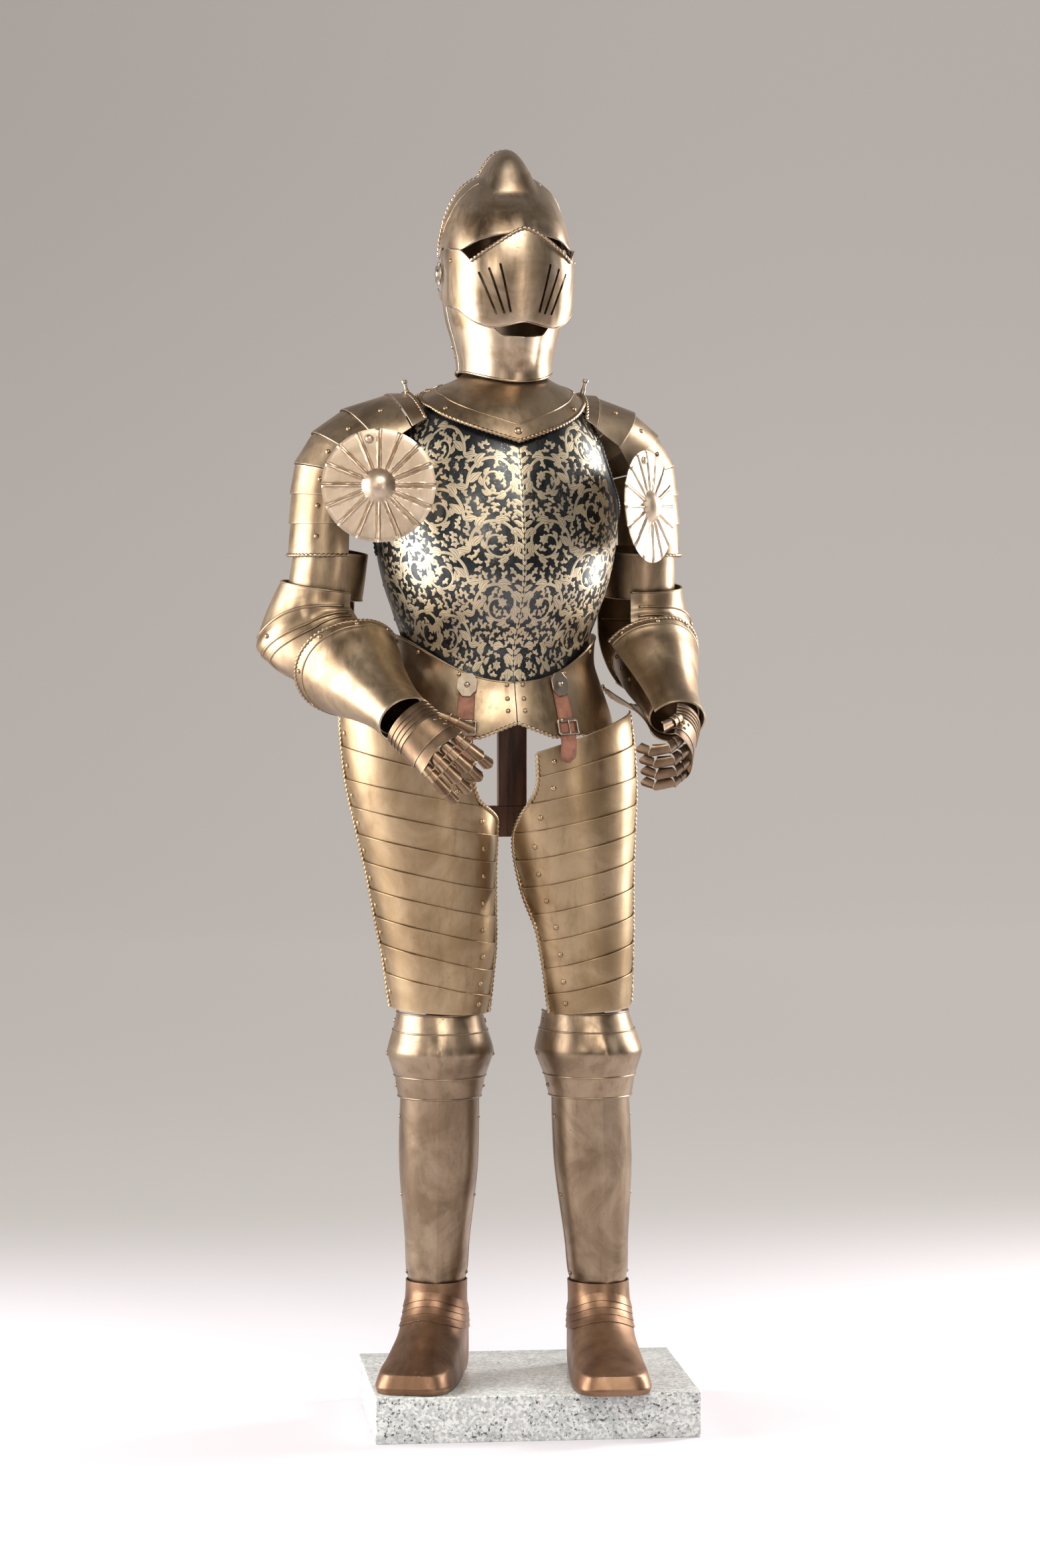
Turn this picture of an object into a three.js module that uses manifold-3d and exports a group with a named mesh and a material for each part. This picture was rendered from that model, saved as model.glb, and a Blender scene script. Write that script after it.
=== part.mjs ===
// Suit of plate armour on a stand: a hollow shell of steel plates over a timber frame on a granite plinth.
// Millimetres, +Z up, the suit looks along -Y, its right arm is at -X. The origin is the middle of the
// plinth's underside. Heights in the tables are measured from the plinth's top.

import * as THREE from 'three';
import { mergeVertices } from 'three/addons/utils/BufferGeometryUtils.js';
import Module from 'manifold-3d';

const wasm = await Module();
wasm.setup();

// ---------------------------------------------------------------- driving dimensions

const PLINTH = { width: 480, depth: 350, height: 68 };
const SHEET = 1.6; // wall of a steel plate
const LEATHER = 2.4; // thickness of a strap
const GAP = 0.3; // clearance between neighbouring pieces

// Where the figure stands on its plinth: the axis of the trunk, and how far each part is turned.
const TRUNK = { x: -46, y: 15, turn: 6.8 };
const HEAD = { x: -32, y: 15, turn: 9.3 };

// Trunk sections: half-width, reach to the front and back of the axis, and height of the front keel.
const TRUNK_SECTIONS = [
  { z: 1030, side: 152, front: 124, back: 104, keel: 3 },
  { z: 1095, side: 141, front: 126, back: 98, keel: 6 },
  { z: 1140, side: 154, front: 160, back: 110, keel: 10 },
  { z: 1190, side: 170, front: 184, back: 122, keel: 14 },
  { z: 1250, side: 182, front: 186, back: 132, keel: 13 },
  { z: 1320, side: 185, front: 176, back: 137, keel: 10 },
  { z: 1380, side: 172, front: 160, back: 134, keel: 6 },
  { z: 1420, side: 150, front: 139, back: 122, keel: 3 },
  { z: 1450, side: 122, front: 116, back: 106, keel: 1 },
  { z: 1464, side: 100, front: 100, back: 92, keel: 0 },
];
const KEEL_SPREAD = 0.55; // sine of the angle over which the keel runs out
const WAIST_POINT = { front: 1030, side: 1098, back: 1080 }; // lower edge of the cuirass

// Half-angle that the breastplate covers at each height; the armhole is where it narrows.
const BREAST_SPAN = [
  { z: 1030, span: 90 },
  { z: 1215, span: 90 },
  { z: 1262, span: 78 },
  { z: 1320, span: 62 },
  { z: 1385, span: 60 },
  { z: 1430, span: 72 },
  { z: 1462, span: 86 },
];

// Fauld: the skirt below the waist, which flares over the hips.
const FAULD_SECTIONS = [
  { z: 955, side: 182, front: 158, back: 140 },
  { z: 990, side: 173, front: 150, back: 132 },
  { z: 1040, side: 156, front: 134, back: 114 },
  { z: 1070, side: 147, front: 130, back: 104 },
  { z: 1120, side: 149, front: 150, back: 108 },
];

// Gorget: the collar that spreads from the neck over the top of the cuirass; `shift` moves it to its left.
const GORGET_SECTIONS = [
  { z: 1380, side: 186, front: 176, back: 150, shift: 0 },
  { z: 1420, side: 166, front: 154, back: 136, shift: 0 },
  { z: 1450, side: 140, front: 132, back: 118, shift: 1 },
  { z: 1476, side: 104, front: 100, back: 90, shift: 8 },
  { z: 1487, side: 77, front: 85, back: 75, shift: 11 },
  { z: 1498, side: 61, front: 80, back: 71, shift: 13 },
  { z: 1512, side: 60, front: 78, back: 70, shift: 13 },
];

// Helmet below its pivots: half-width and reach to the front and back of the pivot axis.
const PIVOT = { z: 1646, reach: 98 };
const SKULL_REACH = 95.5;
const ROUNDNESS = 2 / 2.6; // power that fills out the helmet's corners; 1 would be an ellipsoid
const NECK_SECTIONS = [
  { z: 1484, side: 70, front: 93, back: 86 },
  { z: 1512, side: 70, front: 96, back: 84 },
  { z: 1540, side: 75, front: 106, back: 92 },
  { z: 1580, side: 86, front: 113, back: 104 },
  { z: 1620, side: 91.5, front: 113, back: 110 },
  { z: 1646, side: 92.5, front: 110, back: 112 },
];

// Helmet above its pivots, around the pivot axis: 0 is straight ahead and 90 straight up.
const SKULL_RADII = [
  { turn: 10, radius: 119 },
  { turn: 28, radius: 121 },
  { turn: 45, radius: 125 },
  { turn: 56, radius: 129 },
  { turn: 66, radius: 137 },
  { turn: 78, radius: 147 },
  { turn: 90, radius: 150 },
  { turn: 110, radius: 140 },
  { turn: 130, radius: 124 },
  { turn: 150, radius: 117 },
  { turn: 180, radius: 112 },
];
const VISOR_RADII = [
  { turn: -46, radius: 146 },
  { turn: -34, radius: 138 },
  { turn: -20, radius: 128 },
  { turn: -5, radius: 125 },
  { turn: 15, radius: 126 },
  { turn: 36, radius: 134 },
];
const VISOR_KEEL = { rise: 4, spread: 24 }; // the fold down the visor's middle, and the swing it fades over
const COMB = [
  { turn: 60, rise: 0 },
  { turn: 69, rise: 14 },
  { turn: 79, rise: 33 },
  { turn: 92, rise: 34 },
  { turn: 115, rise: 24 },
  { turn: 150, rise: 9 },
  { turn: 176, rise: 0 },
];
const COMB_HALF_WIDTH = 36;

// ---------------------------------------------------------------- small helpers

const V = (x, y, z) => new THREE.Vector3(x, y, z);
const rad = THREE.MathUtils.degToRad;
const lerp = THREE.MathUtils.lerp;
const clamp = THREE.MathUtils.clamp;

/** Reads a named column of a table at a place between its rows; `ease` rounds the corners. */
function read(table, by, column, at, ease = true) {
  const last = table.length - 1;
  if (at <= table[0][by]) return table[0][column];
  if (at >= table[last][by]) return table[last][column];
  const i = table.findIndex((row) => row[by] > at) - 1;
  const [a, b] = [table[i], table[i + 1]];
  const width = b[by] - a[by];
  const t = (at - a[by]) / width;
  if (!ease) return lerp(a[column], b[column], t);
  const before = table[Math.max(i - 1, 0)];
  const after = table[Math.min(i + 2, last)];
  const slopeA = ((b[column] - before[column]) / (b[by] - before[by])) * width;
  const slopeB = ((after[column] - a[column]) / (after[by] - a[by])) * width;
  const t2 = t * t;
  const t3 = t2 * t;
  return (
    (2 * t3 - 3 * t2 + 1) * a[column] + (t3 - 2 * t2 + t) * slopeA +
    (3 * t2 - 2 * t3) * b[column] + (t3 - t2) * slopeB
  );
}

/** Evenly spaced values from a to b, both included. */
function steps(a, b, count) {
  return Array.from({ length: count + 1 }, (_, i) => lerp(a, b, i / count));
}

/** The values of half a plate, mirrored about its middle. */
function mirrored(half) {
  return [...half.slice(1).reverse().map((value) => -value), ...half];
}

/** A closed geometry from points and triangles, with its faces turned outwards. */
function closedGeometry(points, triangles) {
  let volume = 0;
  for (const [a, b, c] of triangles) volume += points[a].dot(V(0, 0, 0).crossVectors(points[b], points[c]));
  const faces = volume < 0 ? triangles.map(([a, b, c]) => [a, c, b]) : triangles;
  const geometry = new THREE.BufferGeometry();
  geometry.setAttribute('position', new THREE.Float32BufferAttribute(points.flatMap((p) => p.toArray()), 3));
  geometry.setIndex(faces.flat());
  geometry.computeVertexNormals();
  return geometry;
}

/**
 * The wall of a plate. `at(u, v)` is a point of the plate's smooth surface, `across` and `along` list the
 * values of u and v, `lift(u, v)` moves the outer face out, and `inside` is a point on the hollow side.
 * A `round` plate closes on itself across.
 */
function plate({ at, across, along, inside, lift = () => 0, wall = SHEET, round = false }) {
  const columns = across.length;
  const rows = along.length;
  const base = along.map((v) => across.map((u) => at(u, v)));
  const column = (i) => (round ? (i + columns) % columns : clamp(i, 0, columns - 1));
  const normal = (i, j) => {
    const du = V(0, 0, 0).subVectors(base[j][column(i + 1)], base[j][column(i - 1)]);
    const dv = V(0, 0, 0).subVectors(base[Math.min(j + 1, rows - 1)][i], base[Math.max(j - 1, 0)][i]);
    return du.cross(dv).normalize();
  };
  const middle = base[rows >> 1][columns >> 1];
  const outward = V(0, 0, 0).subVectors(middle, inside).dot(normal(columns >> 1, rows >> 1)) < 0 ? -1 : 1;
  const outer = [];
  const inner = [];
  for (let j = 0; j < rows; j++) {
    for (let i = 0; i < columns; i++) {
      const n = normal(i, j).multiplyScalar(outward);
      outer.push(base[j][i].clone().addScaledVector(n, lift(across[i], along[j])));
      inner.push(base[j][i].clone().addScaledVector(n, -wall));
    }
  }
  const shift = outer.length;
  const id = (i, j) => j * columns + column(i);
  const triangles = [];
  const quad = (a, b, c, d) => triangles.push([a, b, c], [a, c, d]);
  const spans = round ? columns : columns - 1;
  for (let j = 0; j < rows - 1; j++) {
    for (let i = 0; i < spans; i++) {
      quad(id(i, j), id(i + 1, j), id(i + 1, j + 1), id(i, j + 1));
      quad(shift + id(i, j), shift + id(i, j + 1), shift + id(i + 1, j + 1), shift + id(i + 1, j));
    }
  }
  for (let i = 0; i < spans; i++) {
    quad(id(i + 1, 0), id(i, 0), shift + id(i, 0), shift + id(i + 1, 0));
    quad(id(i, rows - 1), id(i + 1, rows - 1), shift + id(i + 1, rows - 1), shift + id(i, rows - 1));
  }
  if (!round) {
    for (let j = 0; j < rows - 1; j++) {
      const end = columns - 1;
      quad(id(0, j), id(0, j + 1), shift + id(0, j + 1), shift + id(0, j));
      quad(id(end, j + 1), id(end, j), shift + id(end, j), shift + id(end, j + 1));
    }
  }
  return closedGeometry([...outer, ...inner], triangles);
}

/** The rows of a laminated plate: each lame starts flush and its far edge stands proud of the next. */
function lames(edges, { proud = 2.2, lap = 0.6 } = {}) {
  const rows = [];
  const lifts = new Map();
  edges.slice(0, -1).forEach((start, i) => {
    const first = i === 0 ? start : start + lap;
    rows.push(first, edges[i + 1]);
    lifts.set(first, 0);
    lifts.set(edges[i + 1], proud);
  });
  return { along: rows, lift: (u, v) => lifts.get(v) };
}

/** One solid out of overlapping closed geometries, with the space of `hole` cut away. */
function join(geometries, hole = null) {
  const solid = (geometry) => {
    const bare = geometry.clone();
    bare.deleteAttribute('normal');
    bare.deleteAttribute('uv');
    const merged = mergeVertices(bare);
    const vertProperties = new Float32Array(merged.attributes.position.array);
    const triVerts = new Uint32Array(merged.index.array);
    return new wasm.Manifold(new wasm.Mesh({ numProp: 3, vertProperties, triVerts }));
  };
  const whole = geometries.map(solid).reduce((sum, piece) => sum.add(piece));
  const mesh = (hole ? whole.subtract(solid(hole)) : whole).getMesh();
  const geometry = new THREE.BufferGeometry();
  geometry.setAttribute('position', new THREE.BufferAttribute(mesh.vertProperties, 3));
  geometry.setIndex(new THREE.BufferAttribute(mesh.triVerts, 1));
  geometry.computeVertexNormals();
  return geometry;
}

// ---------------------------------------------------------------- finishes

const finish = (color, roughness, metalness) => ({ color, roughness, metalness });
const FINISH = {
  steel: finish(0xa8977a, 0.34, 1),
  etched: finish(0x3a3a36, 0.4, 0.9),
  brassy: finish(0xa08750, 0.36, 1),
  rusty: finish(0x6f5138, 0.5, 0.9),
  leather: finish(0x8a4f34, 0.65, 0),
  timber: finish(0x4a2c1a, 0.6, 0),
  granite: finish(0xc9cbc8, 0.3, 0),
};

function part(name, geometry, look) {
  const mesh = new THREE.Mesh(geometry, new THREE.MeshStandardMaterial(FINISH[look]));
  mesh.name = name;
  return mesh;
}

const SIDES = [
  { tag: 'right', sign: -1 },
  { tag: 'left', sign: 1 },
];

// ---------------------------------------------------------------- helmet

/** Raises a point of the skull, measured from the pivot, into the hollow comb over the crown. */
function withComb(x, turn, radius, inset = 0) {
  const rise = Math.max(0, read(COMB, 'turn', 'rise', turn) - inset);
  const near = clamp(1 - (x / (COMB_HALF_WIDTH - inset)) ** 2, 0, 1);
  return radius + rise * Math.sqrt(near) * lerp(near, 1, 0.5);
}

/** A point of a shell around the pivot axis: `swing` runs from ear to ear, `turn` from front to back. */
function aroundPivot(radii, reach, form) {
  return (swing, turn) => {
    const x = reach * Math.sign(swing) * Math.abs(Math.sin(rad(swing))) ** ROUNDNESS;
    const round = read(radii, 'turn', 'radius', turn) * Math.abs(Math.cos(rad(swing))) ** ROUNDNESS;
    const radius = form(x, swing, turn, round);
    return V(x, -radius * Math.cos(rad(turn)), PIVOT.z + radius * Math.sin(rad(turn)));
  };
}

/** A point of a shell with level rings: angle 0 is the front, 90 the suit's left side. */
function ringPoint(sections, angle, z, out = 0) {
  const side = read(sections, 'z', 'side', z) + out;
  const depth = read(sections, 'z', Math.abs(angle) > 90 ? 'back' : 'front', z) + out;
  return V(side * Math.sin(rad(angle)), -depth * Math.cos(rad(angle)), z);
}

const EDGE = {
  visorTop: [
    { swing: 0, turn: 27 }, { swing: 20, turn: 18 }, { swing: 45, turn: 8 }, { swing: 56, turn: 21 },
    { swing: 70, turn: 34 }, { swing: 78, turn: 60 }, { swing: 84, turn: 118 },
  ],
  visorFoot: [
    { swing: 0, turn: -33 }, { swing: 24, turn: -40 }, { swing: 45, turn: -41 }, { swing: 60, turn: -42 },
    { swing: 70, turn: -52 }, { swing: 78, turn: -78 }, { swing: 84, turn: -130 },
  ],
  browFoot: [
    { swing: 0, turn: 26 }, { swing: 34, turn: 25 }, { swing: 58, turn: 23 }, { swing: 74, turn: 31 },
    { swing: 80, turn: 52 },
  ],
  browBack: [{ swing: 0, turn: 93 }, { swing: 40, turn: 96 }, { swing: 62, turn: 103 }, { swing: 80, turn: 128 }],
};

/** Height of the helmet's lower rim, which dips at the front and back. */
function neckRim(angle) {
  return 1484 + 16 * Math.sin(rad(angle)) ** 2;
}

function browPlate() {
  const shell = aroundPivot(SKULL_RADII, SKULL_REACH, (x, swing, turn, radius) => withComb(x, turn, radius));
  const at = (swing, t) => {
    const foot = read(EDGE.browFoot, 'swing', 'turn', Math.abs(swing), false);
    const back = read(EDGE.browBack, 'swing', 'turn', Math.abs(swing), false);
    return shell(swing, lerp(foot, back, t));
  };
  const half = [0, 6, 12, 19, 26, 34, 44, 56, 68, 80];
  return plate({ at, across: mirrored(half), along: steps(0, 1, 7), inside: V(0, 0, PIVOT.z) });
}

/** The back of the helmet: level rings up to the pivots, then rings that shrink towards the crown. */
function skull() {
  const under = 3; // how far it lies inside the brow plate
  const combInset = 4;
  const crown = (angle, lean) => {
    const shrink = Math.cos(rad(lean)) ** ROUNDNESS;
    const x = (SKULL_REACH - under) * shrink * Math.sin(rad(angle));
    const y = -(read(SKULL_RADII, 'turn', 'radius', 180) - under) * shrink * Math.cos(rad(angle));
    const z = (read(SKULL_RADII, 'turn', 'radius', 90) - under) * Math.sin(rad(lean)) ** ROUNDNESS;
    const turn = THREE.MathUtils.radToDeg(Math.atan2(z, -y));
    const scale = withComb(x, turn, Math.hypot(y, z), combInset) / Math.hypot(y, z);
    return V(x, y * scale, PIVOT.z + z * scale);
  };
  const at = (angle, level) => (level <= 0
    ? ringPoint(NECK_SECTIONS, angle, lerp(PIVOT.z, neckRim(angle), -level))
    : crown(angle, level * 84));
  const across = mirrored([0, 7, 14, 22, 32, 45, 60, 75, 91]).map((a) => a + 180);
  return plate({
    at: (a, level) => at(a > 180 ? a - 360 : a, level),
    across,
    along: [-1, -0.7, -0.35, 0.001, 0.25, 0.48, 0.66, 0.84, 1],
    inside: V(0, 20, PIVOT.z),
  });
}

function visor() {
  const { rise, spread } = VISOR_KEEL;
  const keel = (swing) => rise * clamp(1 - Math.abs(swing) / spread, 0, 1);
  const shell = aroundPivot(VISOR_RADII, PIVOT.reach, (x, swing, turn, radius) => radius + keel(swing));
  const at = (swing, t) => {
    const top = read(EDGE.visorTop, 'swing', 'turn', Math.abs(swing), false);
    const foot = read(EDGE.visorFoot, 'swing', 'turn', Math.abs(swing), false);
    return shell(swing, lerp(foot, top, t));
  };
  const half = [0, 12, 24, 35, 45, 56, 64, 71, 78, 84];
  return plate({ at, across: mirrored(half), along: steps(0, 1, 6), inside: V(0, 0, PIVOT.z) });
}

/** The bevor guards chin and cheeks; its top edge leaves the mouth open and hides under the visor. */
function bevor() {
  const top = [
    { angle: 0, z: 1548 }, { angle: 24, z: 1551 }, { angle: 40, z: 1580 }, { angle: 65, z: 1606 },
    { angle: 87, z: 1624 },
  ];
  const at = (angle, t) => {
    const z = lerp(neckRim(angle), read(top, 'angle', 'z', Math.abs(angle), false), t);
    const ridge = 6 * clamp(1 - Math.abs(angle) / 16, 0, 1) * clamp((z - 1500) / 20, 0, 1);
    const p = ringPoint(NECK_SECTIONS, angle, z);
    return p.setY(p.y - ridge);
  };
  const across = mirrored([0, 8, 18, 30, 44, 58, 72, 87]);
  return plate({ at, across, along: steps(0, 1, 5), inside: V(0, 0, 1550) });
}

/** A six-lobed disc over each visor pivot. */
function rosette(sign) {
  const outline = new THREE.Shape();
  const lobes = 6;
  const points = steps(0, 360, lobes * 4).slice(0, -1).map((a) => {
    const r = 15.5 + 2.6 * Math.abs(Math.cos(rad((a * lobes) / 2)));
    return new THREE.Vector2(r * Math.cos(rad(a)), r * Math.sin(rad(a)));
  });
  outline.setFromPoints(points);
  const disc = new THREE.ExtrudeGeometry(outline, { depth: 3.2, bevelEnabled: false });
  disc.rotateY(rad(90 * sign));
  disc.translate(sign * (PIVOT.reach + SHEET), 0, PIVOT.z);
  return disc;
}

function helmet() {
  const group = new THREE.Group();
  group.position.set(HEAD.x, HEAD.y, PLINTH.height);
  group.rotation.z = rad(HEAD.turn);
  group.add(part('brow_plate', browPlate(), 'steel'));
  group.add(part('skull', skull(), 'steel'));
  group.add(part('visor', visor(), 'steel'));
  group.add(part('bevor', bevor(), 'steel'));
  for (const { tag, sign } of SIDES) group.add(part(`rosette_${tag}`, rosette(sign), 'steel'));
  return group;
}

// ---------------------------------------------------------------- trunk

/** A point of the cuirass; the front rises to a keel along its middle. */
function trunkPoint(angle, z, out = 0) {
  const p = ringPoint(TRUNK_SECTIONS, angle, z, out);
  if (Math.abs(angle) >= 90) return p;
  const keel = read(TRUNK_SECTIONS, 'z', 'keel', z);
  const rise = keel * clamp(1 - Math.abs(Math.sin(rad(angle))) / KEEL_SPREAD, 0, 1) ** 1.4;
  return p.setY(p.y - rise);
}

function waistEdge(angle) {
  const level = Math.abs(angle) > 90 ? WAIST_POINT.back : WAIST_POINT.front;
  return lerp(level, WAIST_POINT.side, Math.sin(rad(angle)) ** 2);
}

/** Half of the cuirass: `heading` 0 for the breastplate, 180 for the backplate, which goes `under` it. */
function cuirassPlate(heading, across, along, under = 0) {
  const top = 1462;
  const at = (u, t) => {
    const levelHere = lerp(WAIST_POINT.front, top, t);
    const span = read(BREAST_SPAN, 'z', 'span', levelHere) + 0.6 * under;
    let angle = heading + u * span;
    if (angle > 180) angle -= 360;
    return trunkPoint(angle, lerp(waistEdge(angle), top, t), -under);
  };
  const inside = V(0, 0, 1250);
  return plate({ at, across: steps(-1, 1, across), along: steps(0, 1, along), inside });
}

function fauldPoint(angle, z, out = 0) {
  return ringPoint(FAULD_SECTIONS, angle, z, out);
}

/** Lower edge of the fauld: a shallow arch between the legs, level over the hips. */
function fauldHem(angle) {
  const lean = Math.abs(angle);
  if (lean > 90) return 975;
  return lean < 18 ? lerp(984, 962, lean / 18) : lerp(962, 975, (lean - 18) / 72);
}

function fauldPlate(from, to, across) {
  const at = (u, t) => {
    const raw = lerp(from, to, u);
    const angle = raw > 180 ? raw - 360 : raw;
    return fauldPoint(angle, lerp(fauldHem(angle), waistEdge(angle) + 14, t), 3);
  };
  return plate({ at, across: steps(0, 1, across), along: steps(0, 1, 5), inside: V(0, 0, 1030) });
}

/** Lower edge of the gorget: a point on the breast, higher over the shoulders. */
function gorgetHem(angle) {
  const lean = Math.abs(angle);
  if (lean > 90) return lerp(1470, 1425, (lean - 90) / 90);
  return lean < 52 ? lerp(1394, 1446, lean / 52) : lerp(1446, 1470, (lean - 52) / 38);
}

function gorgetPlate(heading) {
  const at = (u, t) => {
    const raw = heading + u * 89.4;
    const angle = raw > 180 ? raw - 360 : raw;
    const z = lerp(gorgetHem(angle), 1512, t);
    const p = ringPoint(GORGET_SECTIONS, angle, z);
    return p.setX(p.x + read(GORGET_SECTIONS, 'z', 'shift', z));
  };
  const across = steps(-1, 1, 12);
  return plate({ at, across, along: [0, 0.3, 0.6, 0.8, 1], inside: V(0, 0, 1440) });
}

function trunk() {
  const group = new THREE.Group();
  group.position.set(TRUNK.x, TRUNK.y, PLINTH.height);
  group.rotation.z = rad(TRUNK.turn);
  group.add(part('breastplate', cuirassPlate(0, 20, 10), 'etched'));
  group.add(part('backplate', cuirassPlate(180, 16, 8, 2.9), 'steel'));
  group.add(part('gorget_front', gorgetPlate(0), 'steel'));
  group.add(part('gorget_back', gorgetPlate(180), 'steel'));
  group.add(part('fauld_right', fauldPlate(-90.5, -0.2, 8), 'steel'));
  group.add(part('fauld_left', fauldPlate(0.2, 90.5, 8), 'steel'));
  group.add(part('fauld_back', fauldPlate(91, 269, 12), 'steel'));
  for (const side of SIDES) group.add(...straps(side), ...shoulder(side), ...arm(side));
  return group;
}

// ---------------------------------------------------------------- straps between fauld and thighs

const STRAP = { width: 24, angle: 25, top: 1052, plate: 30 };

/** A strip that hangs down the front of the fauld: rows of [height, distance out from the fauld]. */
function hangingStrip(sign, { width, rows, wall }) {
  const middle = STRAP.angle * sign;
  const halfAngle = THREE.MathUtils.radToDeg(width / 2 / 160);
  const at = (u, v) => {
    const z = read(rows, 'at', 'z', v, false);
    const out = read(rows, 'at', 'out', v, false);
    return fauldPoint(middle + u * halfAngle, z, out);
  };
  return plate({ at, across: [-1, 0, 1], along: rows.map((row) => row.at), inside: V(0, 0, 1000), wall });
}

function straps({ tag, sign }) {
  const skin = 4.6; // the fauld's own lift and a little clearance
  const strap = hangingStrip(sign, {
    width: STRAP.width,
    wall: LEATHER,
    rows: [
      { at: 0, z: STRAP.top, out: skin + LEATHER },
      { at: 1, z: 1000, out: skin + LEATHER },
      { at: 2, z: 962, out: skin + LEATHER },
      { at: 3, z: 925, out: skin + LEATHER - 2 },
    ],
  });
  const cover = hangingStrip(sign, {
    width: STRAP.plate,
    wall: 1.8,
    rows: [
      { at: 0, z: STRAP.top + 5, out: skin + LEATHER + 3.6 },
      { at: 1, z: STRAP.top - 28, out: skin + LEATHER + 3.6 },
    ],
  });
  return [part(`strap_${tag}`, strap, 'leather'), part(`strap_plate_${tag}`, cover, 'steel')];
}

// ---------------------------------------------------------------- shoulders

// The pauldron follows the shoulder from beside the neck down the upper arm. Each row is one edge between
// lames: its place on the outline, how steeply it faces up, its half-height, half-depth and reach round.
const PAULDRON = [
  { edge: 0, x: 132, z: 1470, tilt: 74, high: 84, deep: 112, reach: 60 },
  { edge: 1, x: 162, z: 1467, tilt: 69, high: 84, deep: 108, reach: 69 },
  { edge: 2, x: 228, z: 1444, tilt: 53, high: 76, deep: 92, reach: 84 },
  { edge: 3, x: 272, z: 1410, tilt: 36, high: 68, deep: 78, reach: 96 },
  { edge: 4, x: 298, z: 1365, tilt: 14, high: 62, deep: 69, reach: 104 },
  { edge: 5, x: 304, z: 1320, tilt: 3, high: 61, deep: 65, reach: 106 },
  { edge: 6, x: 306, z: 1276, tilt: 0, high: 61, deep: 63, reach: 106 },
  { edge: 7, x: 307, z: 1228, tilt: 0, high: 60, deep: 61, reach: 106 },
];
// How far each shoulder lies behind the axis of the trunk, and how much nearer to it than the table says.
const SHOULDER = { right: { back: 14, inward: 0 }, left: { back: 34, inward: 15 } };

function pauldronPoint({ tag, sign }, u, edge) {
  const value = (column) => read(PAULDRON, 'edge', column, edge);
  const around = rad(u * value('reach'));
  const tilt = rad(value('tilt'));
  const inset = value('high') * (Math.cos(around) - 1);
  const { back, inward } = SHOULDER[tag];
  const away = clamp(edge / 3, 0, 1);
  const x = value('x') - inward * away + inset * Math.cos(tilt);
  const z = value('z') + inset * Math.sin(tilt);
  return V(sign * x, lerp(SHOULDER.right.back, back, away) - value('deep') * Math.sin(around), z);
}

function pauldronPiece(side, edges) {
  const { along, lift } = lames(edges);
  const middle = (edges[0] + edges[edges.length - 1]) / 2;
  const rim = pauldronPoint(side, 0, middle);
  const tilt = rad(read(PAULDRON, 'edge', 'tilt', middle));
  const inside = V(rim.x - side.sign * 40 * Math.cos(tilt), rim.y, rim.z - 40 * Math.sin(tilt));
  return plate({ at: (u, e) => pauldronPoint(side, u, e), across: steps(-1, 1, 10), along, lift, inside });
}

// The besagews: fluted discs over the armpits, `turn` is where each one faces.
const BESAGEW = {
  radius: 83, boss: 23, flutes: 16,
  right: { x: 203, y: -139, z: 1330, turn: -12, nod: 6 },
  left: { x: 212, y: -104, z: 1301, turn: 50, nod: 4 },
};

function besagew(tag) {
  const { radius, boss, flutes } = BESAGEW;
  const place = BESAGEW[tag];
  const rings = [
    { r: 3, h: 17 }, { r: 15, h: 14 }, { r: boss, h: 5 }, { r: boss + 6, h: 3.4 }, { r: radius - 5, h: 2 },
    { r: radius, h: -1.5 },
  ];
  const at = (a, r) => V(r * Math.cos(rad(a)), r * Math.sin(rad(a)), read(rings, 'r', 'h', r, false));
  const ridge = (a, r) => (r > boss && r < radius - 5 ? 1.6 * Math.cos(rad(a * flutes)) ** 2 : 0);
  const across = steps(0, 360, flutes * 2).slice(0, -1);
  const lift = (a, r) => ridge(a / 2, r);
  const along = rings.map((ring) => ring.r);
  const disc = plate({ at, across, along, lift, inside: V(0, 0, -60), round: true });
  disc.rotateX(rad(90 - place.nod));
  const mesh = part(`besagew_${tag}`, disc, 'steel');
  mesh.position.set((tag === 'left' ? 1 : -1) * place.x, place.y, place.z);
  mesh.rotation.z = rad(place.turn);
  return mesh;
}

function shoulder(side) {
  const { tag } = side;
  return [
    part(`neck_lame_${tag}`, pauldronPiece(side, [0, 0.98]), 'steel'),
    part(`pauldron_${tag}`, pauldronPiece(side, [1.02, 2, 3, 4]), 'steel'),
    part(`upper_arm_lames_${tag}`, pauldronPiece(side, [4.03, 5, 6, 7]), 'steel'),
    besagew(tag),
  ];
}

// ---------------------------------------------------------------- arms

// Joints of the arms in the trunk's frame. The right hand rests in front of the fauld, the left one is
// held out as round an upright staff.
const ARMS = {
  right: {
    shoulder: V(-246, 14, 1228), elbow: V(-262, 24, 1108), wrist: V(-174, -200, 990), wing: 38,
    fingers: V(0.55, -0.58, -0.6), back: V(-0.45, -0.72, 0.35), curls: [6, 10, 12],
  },
  left: {
    shoulder: V(231, 34, 1228), elbow: V(233, 50, 1108), wrist: V(241, -160, 982), wing: 16,
    fingers: V(-0.25, -0.75, -0.6), back: V(0.95, -0.3, 0.1), curls: [34, 44, 40],
  },
};

/** A group at `from` whose +Z looks at `to` and whose +X lies as near as it can to `outward`. */
function limbGroup(from, to, outward) {
  const z = to.clone().sub(from).normalize();
  const y = V(0, 0, 0).crossVectors(z, outward).normalize();
  const x = V(0, 0, 0).crossVectors(y, z);
  const group = new THREE.Group();
  group.position.copy(from);
  group.quaternion.setFromRotationMatrix(new THREE.Matrix4().makeBasis(x, y, z));
  return group;
}

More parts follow.
